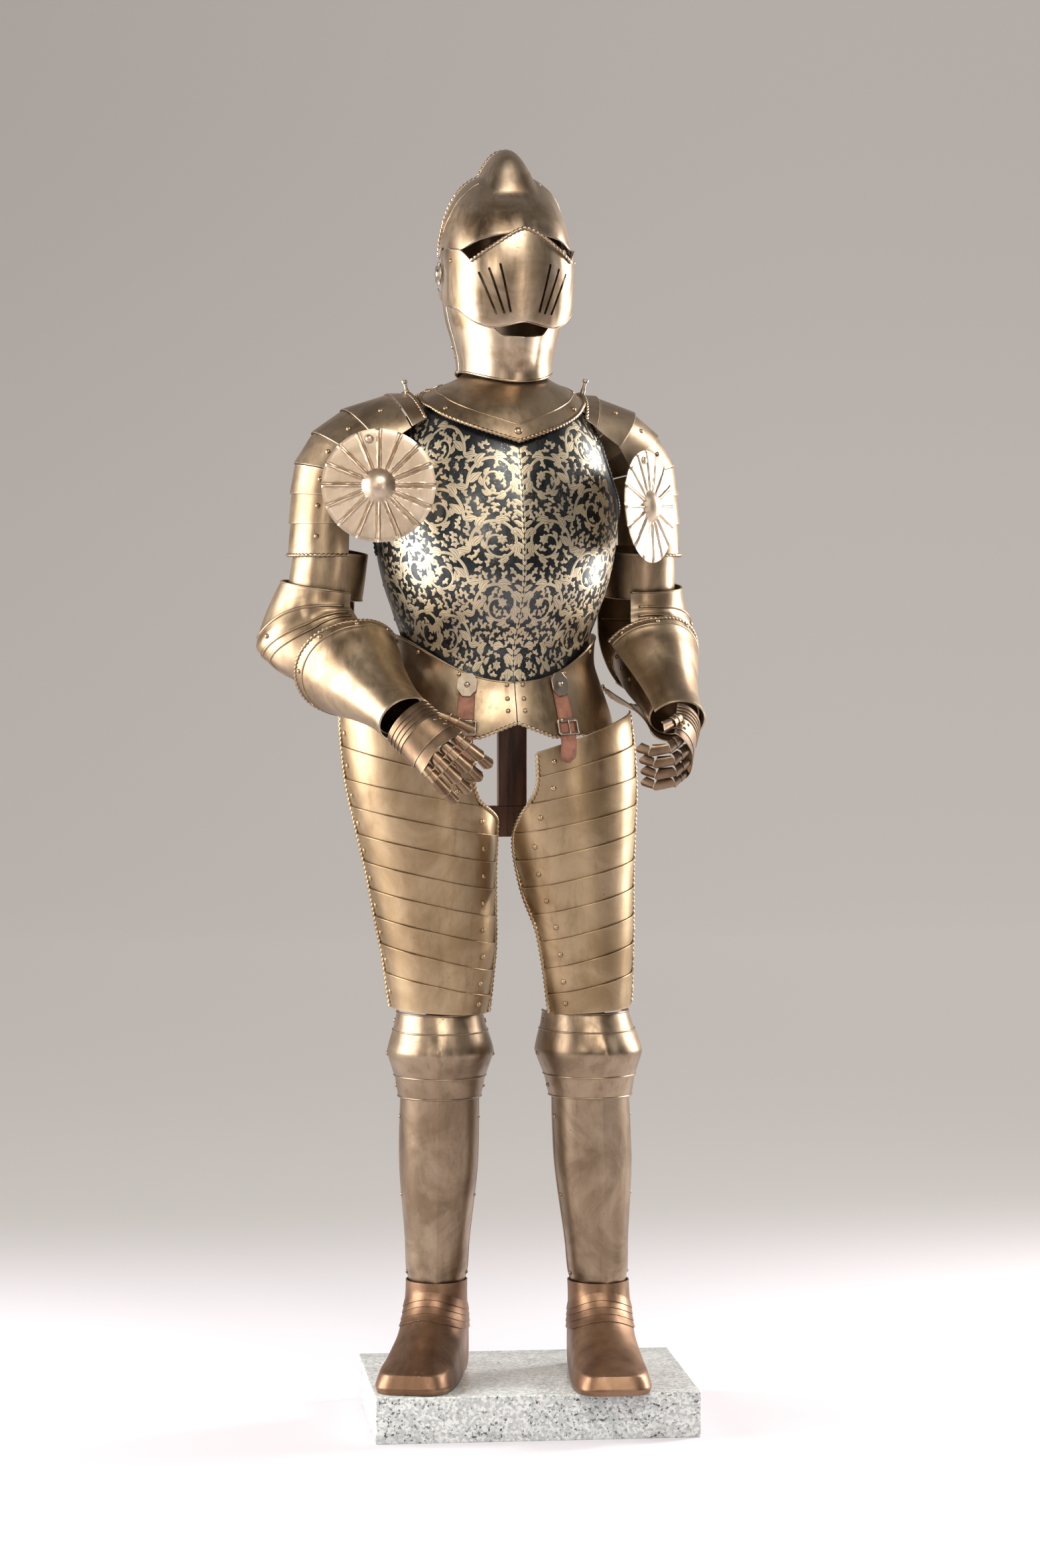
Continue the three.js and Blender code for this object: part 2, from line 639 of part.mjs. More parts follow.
/** A tube round the limb's own Z axis: rows of height, half-width and half-depth, over a span of angles. */
function limbTube({ rows, span, count, lift, round = false, slant = () => 0 }) {
  const at = (angle, v) => {
    const a = read(rows, 'at', 'a', v);
    const b = read(rows, 'at', 'b', v);
    const z = read(rows, 'at', 'z', v, false) + slant(angle, v);
    return V(a * Math.cos(rad(angle)), b * Math.sin(rad(angle)), z);
  };
  const across = round ? steps(0, 360, count).slice(0, -1) : steps(-span, span, count);
  const along = rows.map((row) => row.at);
  const centre = (rows[0].z + rows[rows.length - 1].z) / 2;
  return plate({ at, across, along, inside: V(0, 0, centre), lift, round });
}

/** The elbow cop: a band round the bend whose middle rises to a point on the outer side. */
function couter(place, sign) {
  const { elbow } = place;
  const up = place.shoulder.clone().sub(elbow).setLength(76).add(elbow);
  const down = place.wrist.clone().sub(elbow).setLength(66).add(elbow);
  const bend = new THREE.QuadraticBezierCurve3(up, elbow, down);
  const outward = V(sign, 0.25, 0).normalize();
  const radii = [{ t: 0, r: 67 }, { t: 0.25, r: 68 }, { t: 0.5, r: 70 }, { t: 0.75, r: 66 }, { t: 1, r: 60 }];
  const at = (angle, t) => {
    const along = bend.getTangent(t);
    const out = outward.clone().addScaledVector(along, -outward.dot(along)).normalize();
    const side = V(0, 0, 0).crossVectors(along, out);
    const wing = clamp(1 - Math.abs(angle) / 62, 0, 1) * clamp(1 - Math.abs(t - 0.55) / 0.55, 0, 1);
    const r = read(radii, 't', 'r', t) + place.wing * wing;
    return bend.getPoint(t).addScaledVector(out, r * Math.cos(rad(angle)))
      .addScaledVector(side, r * Math.sin(rad(angle)));
  };
  const span = 128;
  return plate({ at, across: steps(-span, span, 14), along: steps(0, 1, 6), inside: elbow });
}

/** The flared gauntlet cuff, longest at its outer corner. */
function cuff() {
  const rows = [
    { at: 0, z: -4, a: 43, b: 36 },
    { at: 1, z: -45, a: 45, b: 40 },
    { at: 2, z: -95, a: 56, b: 52 },
    { at: 3, z: -150, a: 74, b: 72 },
    { at: 4, z: -168, a: 80, b: 78 },
  ];
  const slant = (angle, v) => (-26 * clamp(v - 2, 0, 2) * Math.max(0, Math.cos(rad(angle)))) / 2;
  return limbTube({ rows, span: 150, count: 14, slant });
}

const FINGER = { width: 19, wall: 1.8 };

/** One finger: three scale plates over a half-round, each turned down further than the last. */
function finger(start, heading, lengths, curls) {
  const frames = [];
  const here = start.clone();
  let bend = heading.bend;
  frames.push({ at: here.clone(), bend });
  lengths.forEach((length, i) => {
    bend += curls[i];
    const step = V(0, -Math.sin(rad(bend)), Math.cos(rad(bend))).applyAxisAngle(V(0, 1, 0), rad(heading.fan));
    here.addScaledVector(step, length);
    frames.push({ at: here.clone(), bend });
  });
  const at = (angle, i) => {
    const frame = frames[i];
    const radius = (FINGER.width / 2) * (1 - 0.07 * i);
    const normal = V(0, Math.cos(rad(frame.bend)), Math.sin(rad(frame.bend)));
    const across = V(1, 0, 0);
    return frame.at.clone().addScaledVector(across, radius * Math.sin(rad(angle)))
      .addScaledVector(normal, radius * Math.cos(rad(angle)));
  };
  const middle = frames[1].at.clone().addScaledVector(V(0, 1, 0), -30);
  return plate({
    at, across: steps(-88, 88, 4), along: frames.map((_, i) => i), inside: middle, wall: FINGER.wall,
  });
}

/** The back of the hand with wrist lames, four fingers and a thumb, in one piece. */
function hand(sign, bendAll) {
  const rows = steps(0, 1, 3).map((t) => ({ at: t, z: lerp(4, 84, t), a: lerp(33, 22, t), b: lerp(40, 42, t) }));
  const back = limbTube({ rows, span: 84, count: 10 });
  back.rotateZ(rad(90));
  const fingers = [-1.5, -0.5, 0.5, 1.5].map((place) => {
    const x = place * 20.5;
    const drop = 22 * Math.cos(Math.asin(clamp(x / 43, -1, 1)));
    const start = V(x, drop - FINGER.width / 2 + 1, 76);
    const lengths = [28 - 2 * Math.abs(place), 24, 21 - 3 * Math.abs(place)];
    return finger(start, { bend: 6, fan: place * 3 }, lengths, bendAll);
  });
  const thumb = finger(V(-sign * 38, 4, 34), { bend: 10, fan: -sign * 22 }, [26, 24], [8, 14]);
  return join([back, ...fingers, thumb]);
}

function arm({ tag, sign }) {
  const place = ARMS[tag];
  const outward = V(sign, 0, 0);
  const upper = limbGroup(place.elbow, place.shoulder, outward);
  const tubeRows = [{ at: 0, z: 62, a: 56, b: 56 }, { at: 1, z: 90, a: 56, b: 57 }, { at: 2, z: 132, a: 55, b: 56 }];
  upper.add(part(`rerebrace_${tag}`, limbTube({ rows: tubeRows, count: 14, round: true }), 'steel'));

  const reach = place.wrist.distanceTo(place.elbow);
  const lower = limbGroup(place.elbow, place.wrist, outward);
  const vambraceRows = [
    { at: 0, z: 58, a: 53, b: 52 },
    { at: 1, z: 110, a: 52, b: 48 },
    { at: 2, z: 160, a: 44, b: 40 },
    { at: 3, z: reach - 20, a: 38, b: 33 },
  ];
  lower.add(part(`vambrace_${tag}`, limbTube({ rows: vambraceRows, count: 14, round: true }), 'steel'));

  const wrist = limbGroup(place.wrist, place.wrist.clone().multiplyScalar(2).sub(place.elbow), outward);
  wrist.add(part(`cuff_${tag}`, cuff(), 'steel'));
  const across = V(0, 0, 0).crossVectors(place.back, place.fingers);
  const palm = limbGroup(place.wrist, place.wrist.clone().add(place.fingers), across);
  palm.add(part(`hand_${tag}`, hand(sign, place.curls), 'steel'));
  return [part(`couter_${tag}`, couter(place, sign), 'steel'), upper, lower, wrist, palm];
}

// ---------------------------------------------------------------- legs

// Joints of the legs from the plinth's own middle; `face` is where the plates look, `toe` the foot's turn.
const LEGS = {
  right: {
    hip: V(-168, -22, 992), thigh: V(-133, -14, 640), knee: V(-130, -12, 500), ankle: V(-132, 45, 92),
    face: -6, toe: -16, wide: 1.07, top: 958, slope: 38,
    // How far round the inner side each level of the thigh plate reaches, in degrees from its front.
    inner: [{ level: 0, angle: 84 }, { level: 0.3, angle: 88 }, { level: 0.74, angle: 88 },
      { level: 0.82, angle: 50 }, { level: 1, angle: 46 }],
  },
  left: {
    hip: V(50, -18, 992), thigh: V(80, -14, 640), knee: V(92, -12, 500), ankle: V(113, 14, 92),
    face: 10, toe: -0.5, wide: 1, top: 961, slope: 37,
    inner: [{ level: 0, angle: 70 }, { level: 0.33, angle: 66 }, { level: 0.5, angle: 84 },
      { level: 0.62, angle: 86 }, { level: 0.71, angle: 75 }, { level: 0.84, angle: 42 }, { level: 1, angle: 36 }],
  },
};
const THIGH_SECTIONS = [
  { z: 545, a: 67, b: 74 },
  { z: 583, a: 71, b: 76 },
  { z: 664, a: 80, b: 80 },
  { z: 755, a: 88, b: 84 },
  { z: 820, a: 96, b: 87 },
  { z: 888, a: 104, b: 88 },
  { z: 960, a: 105, b: 86 },
  { z: 1010, a: 102, b: 82 },
];
const THIGH_LAMES = 10;
const THIGH_FOOT = 552;

/** Where a leg's middle line runs at a height. */
function legAxis(place, z) {
  const bones = [
    { z: place.ankle.z, x: place.ankle.x, y: place.ankle.y },
    { z: place.knee.z, x: place.knee.x, y: place.knee.y },
    { z: place.thigh.z, x: place.thigh.x, y: place.thigh.y },
    { z: place.hip.z, x: place.hip.x, y: place.hip.y },
  ];
  return V(read(bones, 'z', 'x', z, false), read(bones, 'z', 'y', z, false), z);
}

/** A point round a leg: angle 0 is where the leg faces, sections give half-width a and half-depth b. */
function legPoint(place, sections, angle, z, { bulge = 0, wide = 1 } = {}) {
  const a = read(sections, 'z', 'a', z) * wide;
  const b = read(sections, 'z', 'b', z) + bulge;
  const local = V(a * Math.sin(rad(angle)), -b * Math.cos(rad(angle)), 0);
  return local.applyAxisAngle(V(0, 0, 1), rad(place.face)).add(legAxis(place, z));
}

/** The thigh defence: lames that overlap upwards and slope down to the inner side. */
function thigh({ sign }, place) {
  const { inner, wide, top, slope } = place;
  const drop = [
    { level: 0, fall: 4 }, { level: 0.12, fall: 20 }, { level: 0.8, fall: 22 }, { level: 1, fall: slope },
  ];
  const at = (u, level) => {
    const reach = u < 0 ? read(inner, 'level', 'angle', level) : 84;
    const angle = sign * u * reach;
    const z = lerp(THIGH_FOOT, top, level) + Math.sin(rad(u * reach)) * read(drop, 'level', 'fall', level, false);
    return legPoint(place, THIGH_SECTIONS, angle, z, { wide });
  };
  const edges = steps(0, 1, THIGH_LAMES);
  const { along, lift } = lames(edges, { proud: 2.4, lap: 0.006 });
  return plate({ at, across: steps(-1, 1, 10), along, lift, inside: legAxis(place, 770) });
}

const KNEE_SECTIONS = [
  { z: 420, a: 62, b: 64 },
  { z: 455, a: 68, b: 76 },
  { z: 492, a: 72, b: 86 },
  { z: 525, a: 69, b: 78 },
  { z: 551, a: 64, b: 67 },
];
const SHIN_SECTIONS = [
  { z: 122, a: 41, b: 42, calf: 2 },
  { z: 139, a: 42, b: 43, calf: 3 },
  { z: 152, a: 45.5, b: 46, calf: 5 },
  { z: 200, a: 48, b: 48, calf: 14 },
  { z: 310, a: 58, b: 56, calf: 26 },
  { z: 380, a: 59, b: 58, calf: 18 },
  { z: 428, a: 58, b: 59, calf: 6 },
];

function poleyn(place) {
  const at = (angle, z) => legPoint(place, KNEE_SECTIONS, angle, z);
  const wing = (angle, z) => 8 * clamp(1 - Math.abs(z - 490) / 40, 0, 1);
  return plate({
    at, across: steps(-104, 104, 12), along: KNEE_SECTIONS.map((row) => row.z), lift: wing,
    inside: legAxis(place, 490),
  });
}

function greave(place) {
  const at = (angle, z) => {
    const back = Math.max(0, -Math.cos(rad(angle)));
    return legPoint(place, SHIN_SECTIONS, angle, z, { bulge: back * read(SHIN_SECTIONS, 'z', 'calf', z) });
  };
  const across = steps(0, 360, 14).slice(0, -1);
  return plate({ at, across, along: SHIN_SECTIONS.map((row) => row.z), inside: legAxis(place, 260), round: true });
}

// Level rings of the sabaton from the sole up to the ankle: reach in front of and behind the ankle,
// half-widths at the ankle and at the toe, and how square the toe is (1 is an ellipse, less is squarer).
const SABATON = [
  { z: 1, front: 216, back: 60, heel: 46, toe: 65, square: 0.45 },
  { z: 9, front: 219, back: 62, heel: 48, toe: 66, square: 0.42 },
  { z: 29, front: 209, back: 63, heel: 49, toe: 59, square: 0.45 },
  { z: 37, front: 192, back: 63, heel: 49, toe: 58, square: 0.6 },
  { z: 47, front: 166, back: 62, heel: 49, toe: 56, square: 0.7 },
  { z: 59, front: 136, back: 60, heel: 49, toe: 52, square: 0.8 },
  { z: 73, front: 106, back: 58, heel: 49, toe: 50, square: 0.9 },
  { z: 89, front: 80, back: 55, heel: 48, toe: 48, square: 1 },
  { z: 106, front: 62, back: 52, heel: 47, toe: 47, square: 1 },
  { z: 122, front: 53, back: 50, heel: 46.5, toe: 46.5, square: 1 },
  { z: 138, front: 49, back: 49, heel: 46.5, toe: 46.5, square: 1 },
];

function sabaton(place) {
  const at = (angle, z) => {
    const [front, back, heel, toe, square] = ['front', 'back', 'heel', 'toe', 'square'].map(
      (column) => read(SABATON, 'z', column, z, false));
    const [sine, cosine] = [Math.sin(rad(angle)), Math.cos(rad(angle))];
    const power = cosine > 0 ? square : 1;
    const ahead = (cosine > 0 ? front : -back) * Math.abs(cosine) ** power;
    const half = lerp(heel, toe, clamp(ahead / front, 0, 1));
    const ring = V(half * Math.sign(sine) * Math.abs(sine) ** power, -ahead, z);
    const middle = legAxis(place, Math.max(z, place.ankle.z));
    return ring.applyAxisAngle(V(0, 0, 1), rad(place.toe)).add(V(middle.x, middle.y, 0));
  };
  const inside = V(place.ankle.x, place.ankle.y, 50);
  const across = steps(0, 360, 24).slice(0, -1);
  return plate({ at, across, along: SABATON.map((row) => row.z), inside, wall: 2, round: true });
}

function legs() {
  const group = new THREE.Group();
  group.position.z = PLINTH.height;
  for (const side of SIDES) {
    const { tag } = side;
    const place = LEGS[tag];
    group.add(part(`thigh_${tag}`, thigh(side, place), 'brassy'));
    group.add(part(`poleyn_${tag}`, poleyn(place), 'steel'));
    group.add(part(`greave_${tag}`, greave(place), 'steel'));
    group.add(part(`sabaton_${tag}`, sabaton(place), 'rusty'));
  }
  return group;
}

// ---------------------------------------------------------------- stand

const TIMBER = { post: 43, legPost: 36, bar: 46, barTop: 854, thick: 24 };

function beam(name, width, depth, height, x, y, z) {
  const mesh = part(name, new THREE.BoxGeometry(width, depth, height), 'timber');
  mesh.position.set(x, y, z);
  return mesh;
}

function stand() {
  const group = new THREE.Group();
  group.position.z = PLINTH.height;
  const { post, legPost, bar, barTop, thick } = TIMBER;
  const middle = -19;
  const back = 22;
  const barMiddle = (LEGS.right.hip.x + LEGS.left.hip.x) / 2;
  const barWidth = LEGS.left.hip.x - LEGS.right.hip.x + 60;
  const postTop = 1440;
  group.add(beam('hip_bar', barWidth, thick, bar, barMiddle, back, barTop - bar / 2));
  group.add(beam('post', post, thick, postTop - barTop - GAP, middle, back, (postTop + barTop + GAP) / 2));
  group.add(beam('shoulder_bar', 250, thick, bar, middle - 25, back - thick - GAP, 1390));
  for (const { tag } of SIDES) {
    const place = LEGS[tag];
    const x = (place.ankle.x + place.knee.x) / 2;
    const height = barTop - bar - 2 * GAP;
    group.add(beam(`leg_post_${tag}`, legPost, thick, height, x, back, GAP + height / 2));
  }
  return group;
}

function plinth() {
  const mesh = part('plinth', new THREE.BoxGeometry(PLINTH.width, PLINTH.depth, PLINTH.height), 'granite');
  mesh.position.z = PLINTH.height / 2;
  return mesh;
}

const group = new THREE.Group();
group.add(helmet(), trunk(), legs(), stand(), plinth());

export default group;
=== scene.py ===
# Suit of plate armour on its stand: the finished surfaces of every plate, strap, beam and the plinth.
# Tables are in millimetres, with heights measured from the plinth's top; meshes are in metres.

from math import atan2, cos, degrees, hypot, pi, radians, sin, sqrt, tau

import bpy
from mathutils import Matrix, Vector


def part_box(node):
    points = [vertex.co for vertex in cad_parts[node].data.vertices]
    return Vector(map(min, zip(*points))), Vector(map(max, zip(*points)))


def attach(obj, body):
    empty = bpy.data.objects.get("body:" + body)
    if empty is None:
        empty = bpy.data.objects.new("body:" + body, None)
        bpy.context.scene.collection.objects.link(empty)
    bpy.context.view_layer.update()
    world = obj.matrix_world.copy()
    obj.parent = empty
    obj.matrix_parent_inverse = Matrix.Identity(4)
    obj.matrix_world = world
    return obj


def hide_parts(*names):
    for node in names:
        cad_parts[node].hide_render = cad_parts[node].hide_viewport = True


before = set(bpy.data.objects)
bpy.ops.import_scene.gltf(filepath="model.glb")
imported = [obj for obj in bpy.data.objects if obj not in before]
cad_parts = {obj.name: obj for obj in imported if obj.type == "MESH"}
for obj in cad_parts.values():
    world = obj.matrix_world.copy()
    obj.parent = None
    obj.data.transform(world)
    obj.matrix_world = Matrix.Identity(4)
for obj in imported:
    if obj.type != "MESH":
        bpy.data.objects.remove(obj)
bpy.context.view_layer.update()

MM = 0.001
PLINTH_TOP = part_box("plinth")[1][2] / MM
SHEET = 1.6  # wall of a steel plate
LEATHER = 2.4  # thickness of a strap
SIDES = (("right", -1), ("left", 1))


# ---------------------------------------------------------------- helpers: numbers

def clamp(value, low=0.0, high=1.0):
    return max(low, min(high, value))


def mix(a, b, t):
    return a + (b - a) * t


def smooth(value):
    t = clamp(value)
    return t * t * (3 - 2 * t)


def signed_power(value, power):
    return (abs(value) ** power) * (1 if value >= 0 else -1)


def table(columns, *rows):
    """A short table as a dictionary from column name to its values."""
    names = columns.split()
    return {name: [row[i] for row in rows] for i, name in enumerate(names)}


def read(rows, by, column, at, ease=True):
    """A column of a table at a place between its rows; `ease` rounds the corners."""
    places, values = rows[by], rows[column]
    last = len(places) - 1
    if at <= places[0]:
        return values[0]
    if at >= places[last]:
        return values[last]
    i = max(k for k in range(last) if places[k] <= at)
    width = places[i + 1] - places[i]
    t = (at - places[i]) / width
    if not ease:
        return mix(values[i], values[i + 1], t)
    before, after = max(i - 1, 0), min(i + 2, last)
    slope_a = (values[i + 1] - values[before]) / (places[i + 1] - places[before]) * width
    slope_b = (values[after] - values[i]) / (places[after] - places[i]) * width
    return ((2 * t ** 3 - 3 * t ** 2 + 1) * values[i] + (t ** 3 - 2 * t ** 2 + t) * slope_a
            + (3 * t ** 2 - 2 * t ** 3) * values[i + 1] + (t ** 3 - t ** 2) * slope_b)


def spread(a, b, count):
    """Evenly spaced values from a to b, both included."""
    return [mix(a, b, i / count) for i in range(count + 1)]


# ---------------------------------------------------------------- helpers: modelling

def alone(*pieces):
    """Selects only these pieces; the last one becomes the active one."""
    bpy.ops.object.select_all(action="DESELECT")
    for piece in pieces:
        piece.select_set(True)
    bpy.context.view_layer.objects.active = pieces[-1] if pieces else None


def added(name):
    """The primitive that was just added, under its own name."""
    piece = bpy.context.object
    piece.name = piece.data.name = name
    return piece


def apply(piece, kind, **settings):
    alone(piece)
    modifier = piece.modifiers.new(kind.lower(), kind)
    for key, value in settings.items():
        setattr(modifier, key, value)
    bpy.ops.object.modifier_apply(modifier=modifier.name)


def in_edit(piece, *steps):
    """Runs mesh operators on the whole piece in edit mode."""
    alone(piece)
    bpy.ops.object.mode_set(mode="EDIT")
    bpy.ops.mesh.select_all(action="SELECT")
    for step in steps:
        step()
    bpy.ops.object.mode_set(mode="OBJECT")


def settle(piece):
    """Puts the piece's place into its mesh."""
    alone(piece)
    bpy.ops.object.transform_apply(location=True, rotation=True, scale=True)
    return piece


def joined(name, pieces):
    """One object out of several; the first one gives its layers."""
    pieces = [piece for piece in pieces if piece]
    alone(*pieces[1:], pieces[0])
    if len(pieces) > 1:
        bpy.ops.object.join()
    return added(name)


def bent_grid(name, surface, columns, rows, round_across=False):
    """A grid bent to surface(u, v), with u and v from 0 to 1."""
    alone()
    bpy.ops.mesh.primitive_grid_add(x_subdivisions=columns, y_subdivisions=rows, size=1)
    piece = added(name)
    for vertex in piece.data.vertices:
        vertex.co = surface(clamp(vertex.co.x + 0.5), clamp(vertex.co.y + 0.5))
    if round_across:
        in_edit(piece, lambda: bpy.ops.mesh.remove_doubles(threshold=0.02 * MM))
    return piece


def face_away(piece, inside):
    """Turns the faces of an open sheet away from a point on its hollow side."""
    total = 0.0
    for polygon in piece.data.polygons:
        total += polygon.area * polygon.normal.dot(polygon.center - inside)
    if total < 0:
        in_edit(piece, lambda: bpy.ops.mesh.flip_normals())


def sheet_metal(name, surface, columns, rows, inside, wall=SHEET, round_across=False, edge=0.45):
    """A plate of even wall under surface(u, v), with its edges broken by a small bevel."""
    piece = bent_grid(name, surface, columns, rows, round_across)
    face_away(piece, inside)
    apply(piece, "SOLIDIFY", thickness=wall * MM, offset=-1, use_even_offset=False)
    if edge:
        apply(piece, "BEVEL", width=edge * MM, segments=1, limit_method="ANGLE", angle_limit=radians(60))
    alone(piece)
    bpy.ops.object.shade_smooth_by_angle(angle=radians(32))
    return piece


def path_on(surface, places, away=0.0, inside=None):
    """Points along a plate through the given (u, v) places, moved away from the hollow side."""
    points = [surface(u, v) for u, v in places]
    if away and inside is not None:
        points = [p + outward_at(surface, u, v, inside) * away * MM for p, (u, v) in zip(points, places)]
    return points


def outward_at(surface, u, v, inside):
    step = 0.01
    across = surface(min(u + step, 1), v) - surface(max(u - step, 0), v)
    along = surface(u, min(v + step, 1)) - surface(u, max(v - step, 0))
    normal = across.cross(along).normalized()
    return normal if normal.dot(surface(u, v) - inside) > 0 else -normal


def resampled(points, step):
    """The same path with points an even step apart."""
    lengths = [0.0]
    for a, b in zip(points, points[1:]):
        lengths.append(lengths[-1] + (b - a).length)
    count = max(2, round(lengths[-1] / step))
    result = []
    k = 0
    for i in range(count + 1):
        at = lengths[-1] * i / count
        while k < len(points) - 2 and lengths[k + 1] < at:
            k += 1
        span = max(lengths[k + 1] - lengths[k], 1e-9)
        result.append(points[k].lerp(points[k + 1], clamp((at - lengths[k]) / span)))
    return result


def wire(name, points, radius, step, sides, strands=0, lay=7.0, depth=0.0):
    """A wire along a path, in millimetres; with strands it is twisted like a rope, one lay per turn."""
    centres = resampled(points, step * MM)
    count = len(centres) - 1
    tangents = []
    for i in range(count + 1):
        tangents.append((centres[min(i + 1, count)] - centres[max(i - 1, 0)]).normalized())
    side = tangents[0].orthogonal().normalized()
    frames = []
    for tangent in tangents:
        side = (side - tangent * side.dot(tangent)).normalized()
        frames.append((side, tangent.cross(side)))

    def surface(u, v):
        i = round(v * count)
        a, b = frames[i]
        angle = tau * u
        swell = 1 + depth * cos(strands * angle - tau * i * step / lay) if strands else 1
        return centres[i] + (a * cos(angle) + b * sin(angle)) * radius * swell * MM

    piece = bent_grid(name, surface, sides, count, round_across=True)
    in_edit(piece, lambda: bpy.ops.mesh.fill_holes(sides=sides + 1),
            lambda: bpy.ops.mesh.normals_make_consistent(inside=False))
    alone(piece)
    bpy.ops.object.shade_smooth()
    return piece


ROPE = {"radius": 2.7, "step": 1.15, "sides": 8, "strands": 2, "lay": 7.0, "depth": 0.3}
BEAD = {"radius": 1.5, "step": 5.0, "sides": 6}


def rope(points, radius=ROPE["radius"]):
    """The turned edge of a plate, filed to look like rope."""
    rest = {key: value for key, value in ROPE.items() if key != "radius"}
    return wire("rope", points, radius, **rest)


def bead(points, radius=BEAD["radius"]):
    """A line raised in the plate, sunk to half its thickness."""
    return wire("bead", points, radius, BEAD["step"], BEAD["sides"])


def rivet(place, outward, radius=4.2):
    """A domed rivet head on a plate."""
    alone()
    bpy.ops.mesh.primitive_uv_sphere_add(segments=12, ring_count=8, radius=radius * MM)
    head = added("rivet")
    in_edit(head, lambda: bpy.ops.mesh.bisect(plane_co=(0, 0, -0.3 * radius * MM), plane_no=(0, 0, 1),
                                              clear_inner=True, use_fill=True))
    head.scale = (1, 1, 0.72)
    head.rotation_euler = Vector(outward).to_track_quat("Z", "Y").to_euler()
    head.location = place
    settle(head)
    bpy.ops.object.shade_smooth()
    return head


def rivets_on(surface, places, inside, radius=4.2):
    """Rivets at (u, v) places of a plate."""
    return [rivet(surface(u, v), outward_at(surface, u, v, inside), radius) for u, v in places]


def finished(piece, material, node, body="suit"):
    """Gives a piece its material, hangs it from its body and hides the nodes it stands for."""
    piece.data.materials.clear()
    piece.data.materials.append(material)
    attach(piece, body)
    nodes = [node] if isinstance(node, str) else list(node)
    if nodes:
        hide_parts(*nodes)
    return piece


def placed(x, y, turn, z=PLINTH_TOP):
    """The frame of a part of the suit, from its own millimetres to the row's metres."""
    return (Matrix.Translation((x * MM, y * MM, z * MM)) @ Matrix.Rotation(radians(turn), 4, "Z")
            @ Matrix.Scale(MM, 4))


# ---------------------------------------------------------------- forms shared by the plates

TRUNK = {"x": -46, "y": 15, "turn": 6.8}
HEAD = {"x": -32, "y": 15, "turn": 9.3}
IN_TRUNK = placed(**TRUNK)
IN_HEAD = placed(**HEAD)
IN_ROW = placed(0, 0, 0)

TRUNK_SECTIONS = table(
    "z side front back keel",
    (1030, 152, 124, 104, 3), (1095, 141, 126, 98, 6), (1140, 154, 160, 110, 10), (1190, 170, 184, 122, 14),
    (1250, 182, 186, 132, 13), (1320, 185, 176, 137, 10), (1380, 172, 160, 134, 6), (1420, 150, 139, 122, 3),
    (1450, 122, 116, 106, 1), (1464, 100, 100, 92, 0))
KEEL_SPREAD = 0.55
WAIST = {"front": 1030, "side": 1098, "back": 1080}
BREAST_SPAN = table("z span", (1030, 90), (1215, 90), (1262, 78), (1320, 62), (1385, 60), (1430, 72),
                    (1462, 86))
FAULD_SECTIONS = table(
    "z side front back",
    (955, 182, 158, 140), (990, 173, 150, 132), (1040, 156, 134, 114), (1070, 147, 130, 104),
    (1120, 149, 150, 108))
GORGET_SECTIONS = table(
    "z side front back shift",
    (1380, 186, 176, 150, 0), (1420, 166, 154, 136, 0), (1450, 140, 132, 118, 1), (1476, 104, 100, 90, 8),
    (1487, 77, 85, 75, 11), (1498, 61, 80, 71, 13), (1512, 60, 78, 70, 13))
PIVOT = {"z": 1646, "reach": 98}
SKULL_REACH = 95.5
ROUNDNESS = 2 / 2.6
NECK_SECTIONS = table(
    "z side front back",
    (1484, 70, 93, 86), (1512, 70, 96, 84), (1540, 75, 106, 92), (1580, 86, 113, 104), (1620, 91.5, 113, 110),
    (1646, 92.5, 110, 112))
SKULL_RADII = table(
    "turn radius",
    (10, 119), (28, 121), (45, 125), (56, 129), (66, 137), (78, 147), (90, 150), (110, 140), (130, 124),
    (150, 117), (180, 112))
VISOR_RADII = table("turn radius", (-46, 146), (-34, 138), (-20, 128), (-5, 125), (15, 126), (36, 134))
VISOR_KEEL = {"rise": 4, "spread": 24}
COMB = table("turn rise", (60, 0), (69, 14), (79, 33), (92, 34), (115, 24), (150, 9), (176, 0))
COMB_HALF_WIDTH = 36
CREST = {"rise": 3.0, "half_width": 12, "ends": 64, "fade": 26}
VISOR_TOP = table("swing turn", (0, 27), (20, 18), (45, 8), (56, 21), (70, 34), (78, 60), (84, 118))
VISOR_FOOT = table("swing turn", (0, -33), (24, -40), (45, -41), (60, -42), (70, -52), (78, -78), (84, -130))
BROW_FOOT = table("swing turn", (0, 26), (34, 25), (58, 23), (74, 31), (80, 52))
BROW_BACK = table("swing turn", (0, 93), (40, 96), (62, 103), (80, 128))


def ring_point(sections, angle, z, out=0.0):
    """A point of a shell with level rings: angle 0 is the front, 90 the suit's left side."""
    side = read(sections, "z", "side", z) + out
    depth = read(sections, "z", "back" if abs(angle) > 90 else "front", z) + out
    return Vector((side * sin(radians(angle)), -depth * cos(radians(angle)), z))


def wrapped(angle):
    return angle - 360 if angle > 180 else angle


# ---------------------------------------------------------------- helmet

def with_comb(x, turn, radius, inset=0.0):
    rise = max(0.0, read(COMB, "turn", "rise", turn) - inset)
    near = clamp(1 - (x / (COMB_HALF_WIDTH - inset)) ** 2)
    # Below the comb a narrow crest runs on down to the point of the brow.
    crest = 0 if inset else CREST["rise"] * clamp(1 - abs(x) / CREST["half_width"]) * smooth(
        (CREST["ends"] - turn) / CREST["fade"])
    return radius + max(rise * sqrt(near) * mix(near, 1, 0.5), crest)


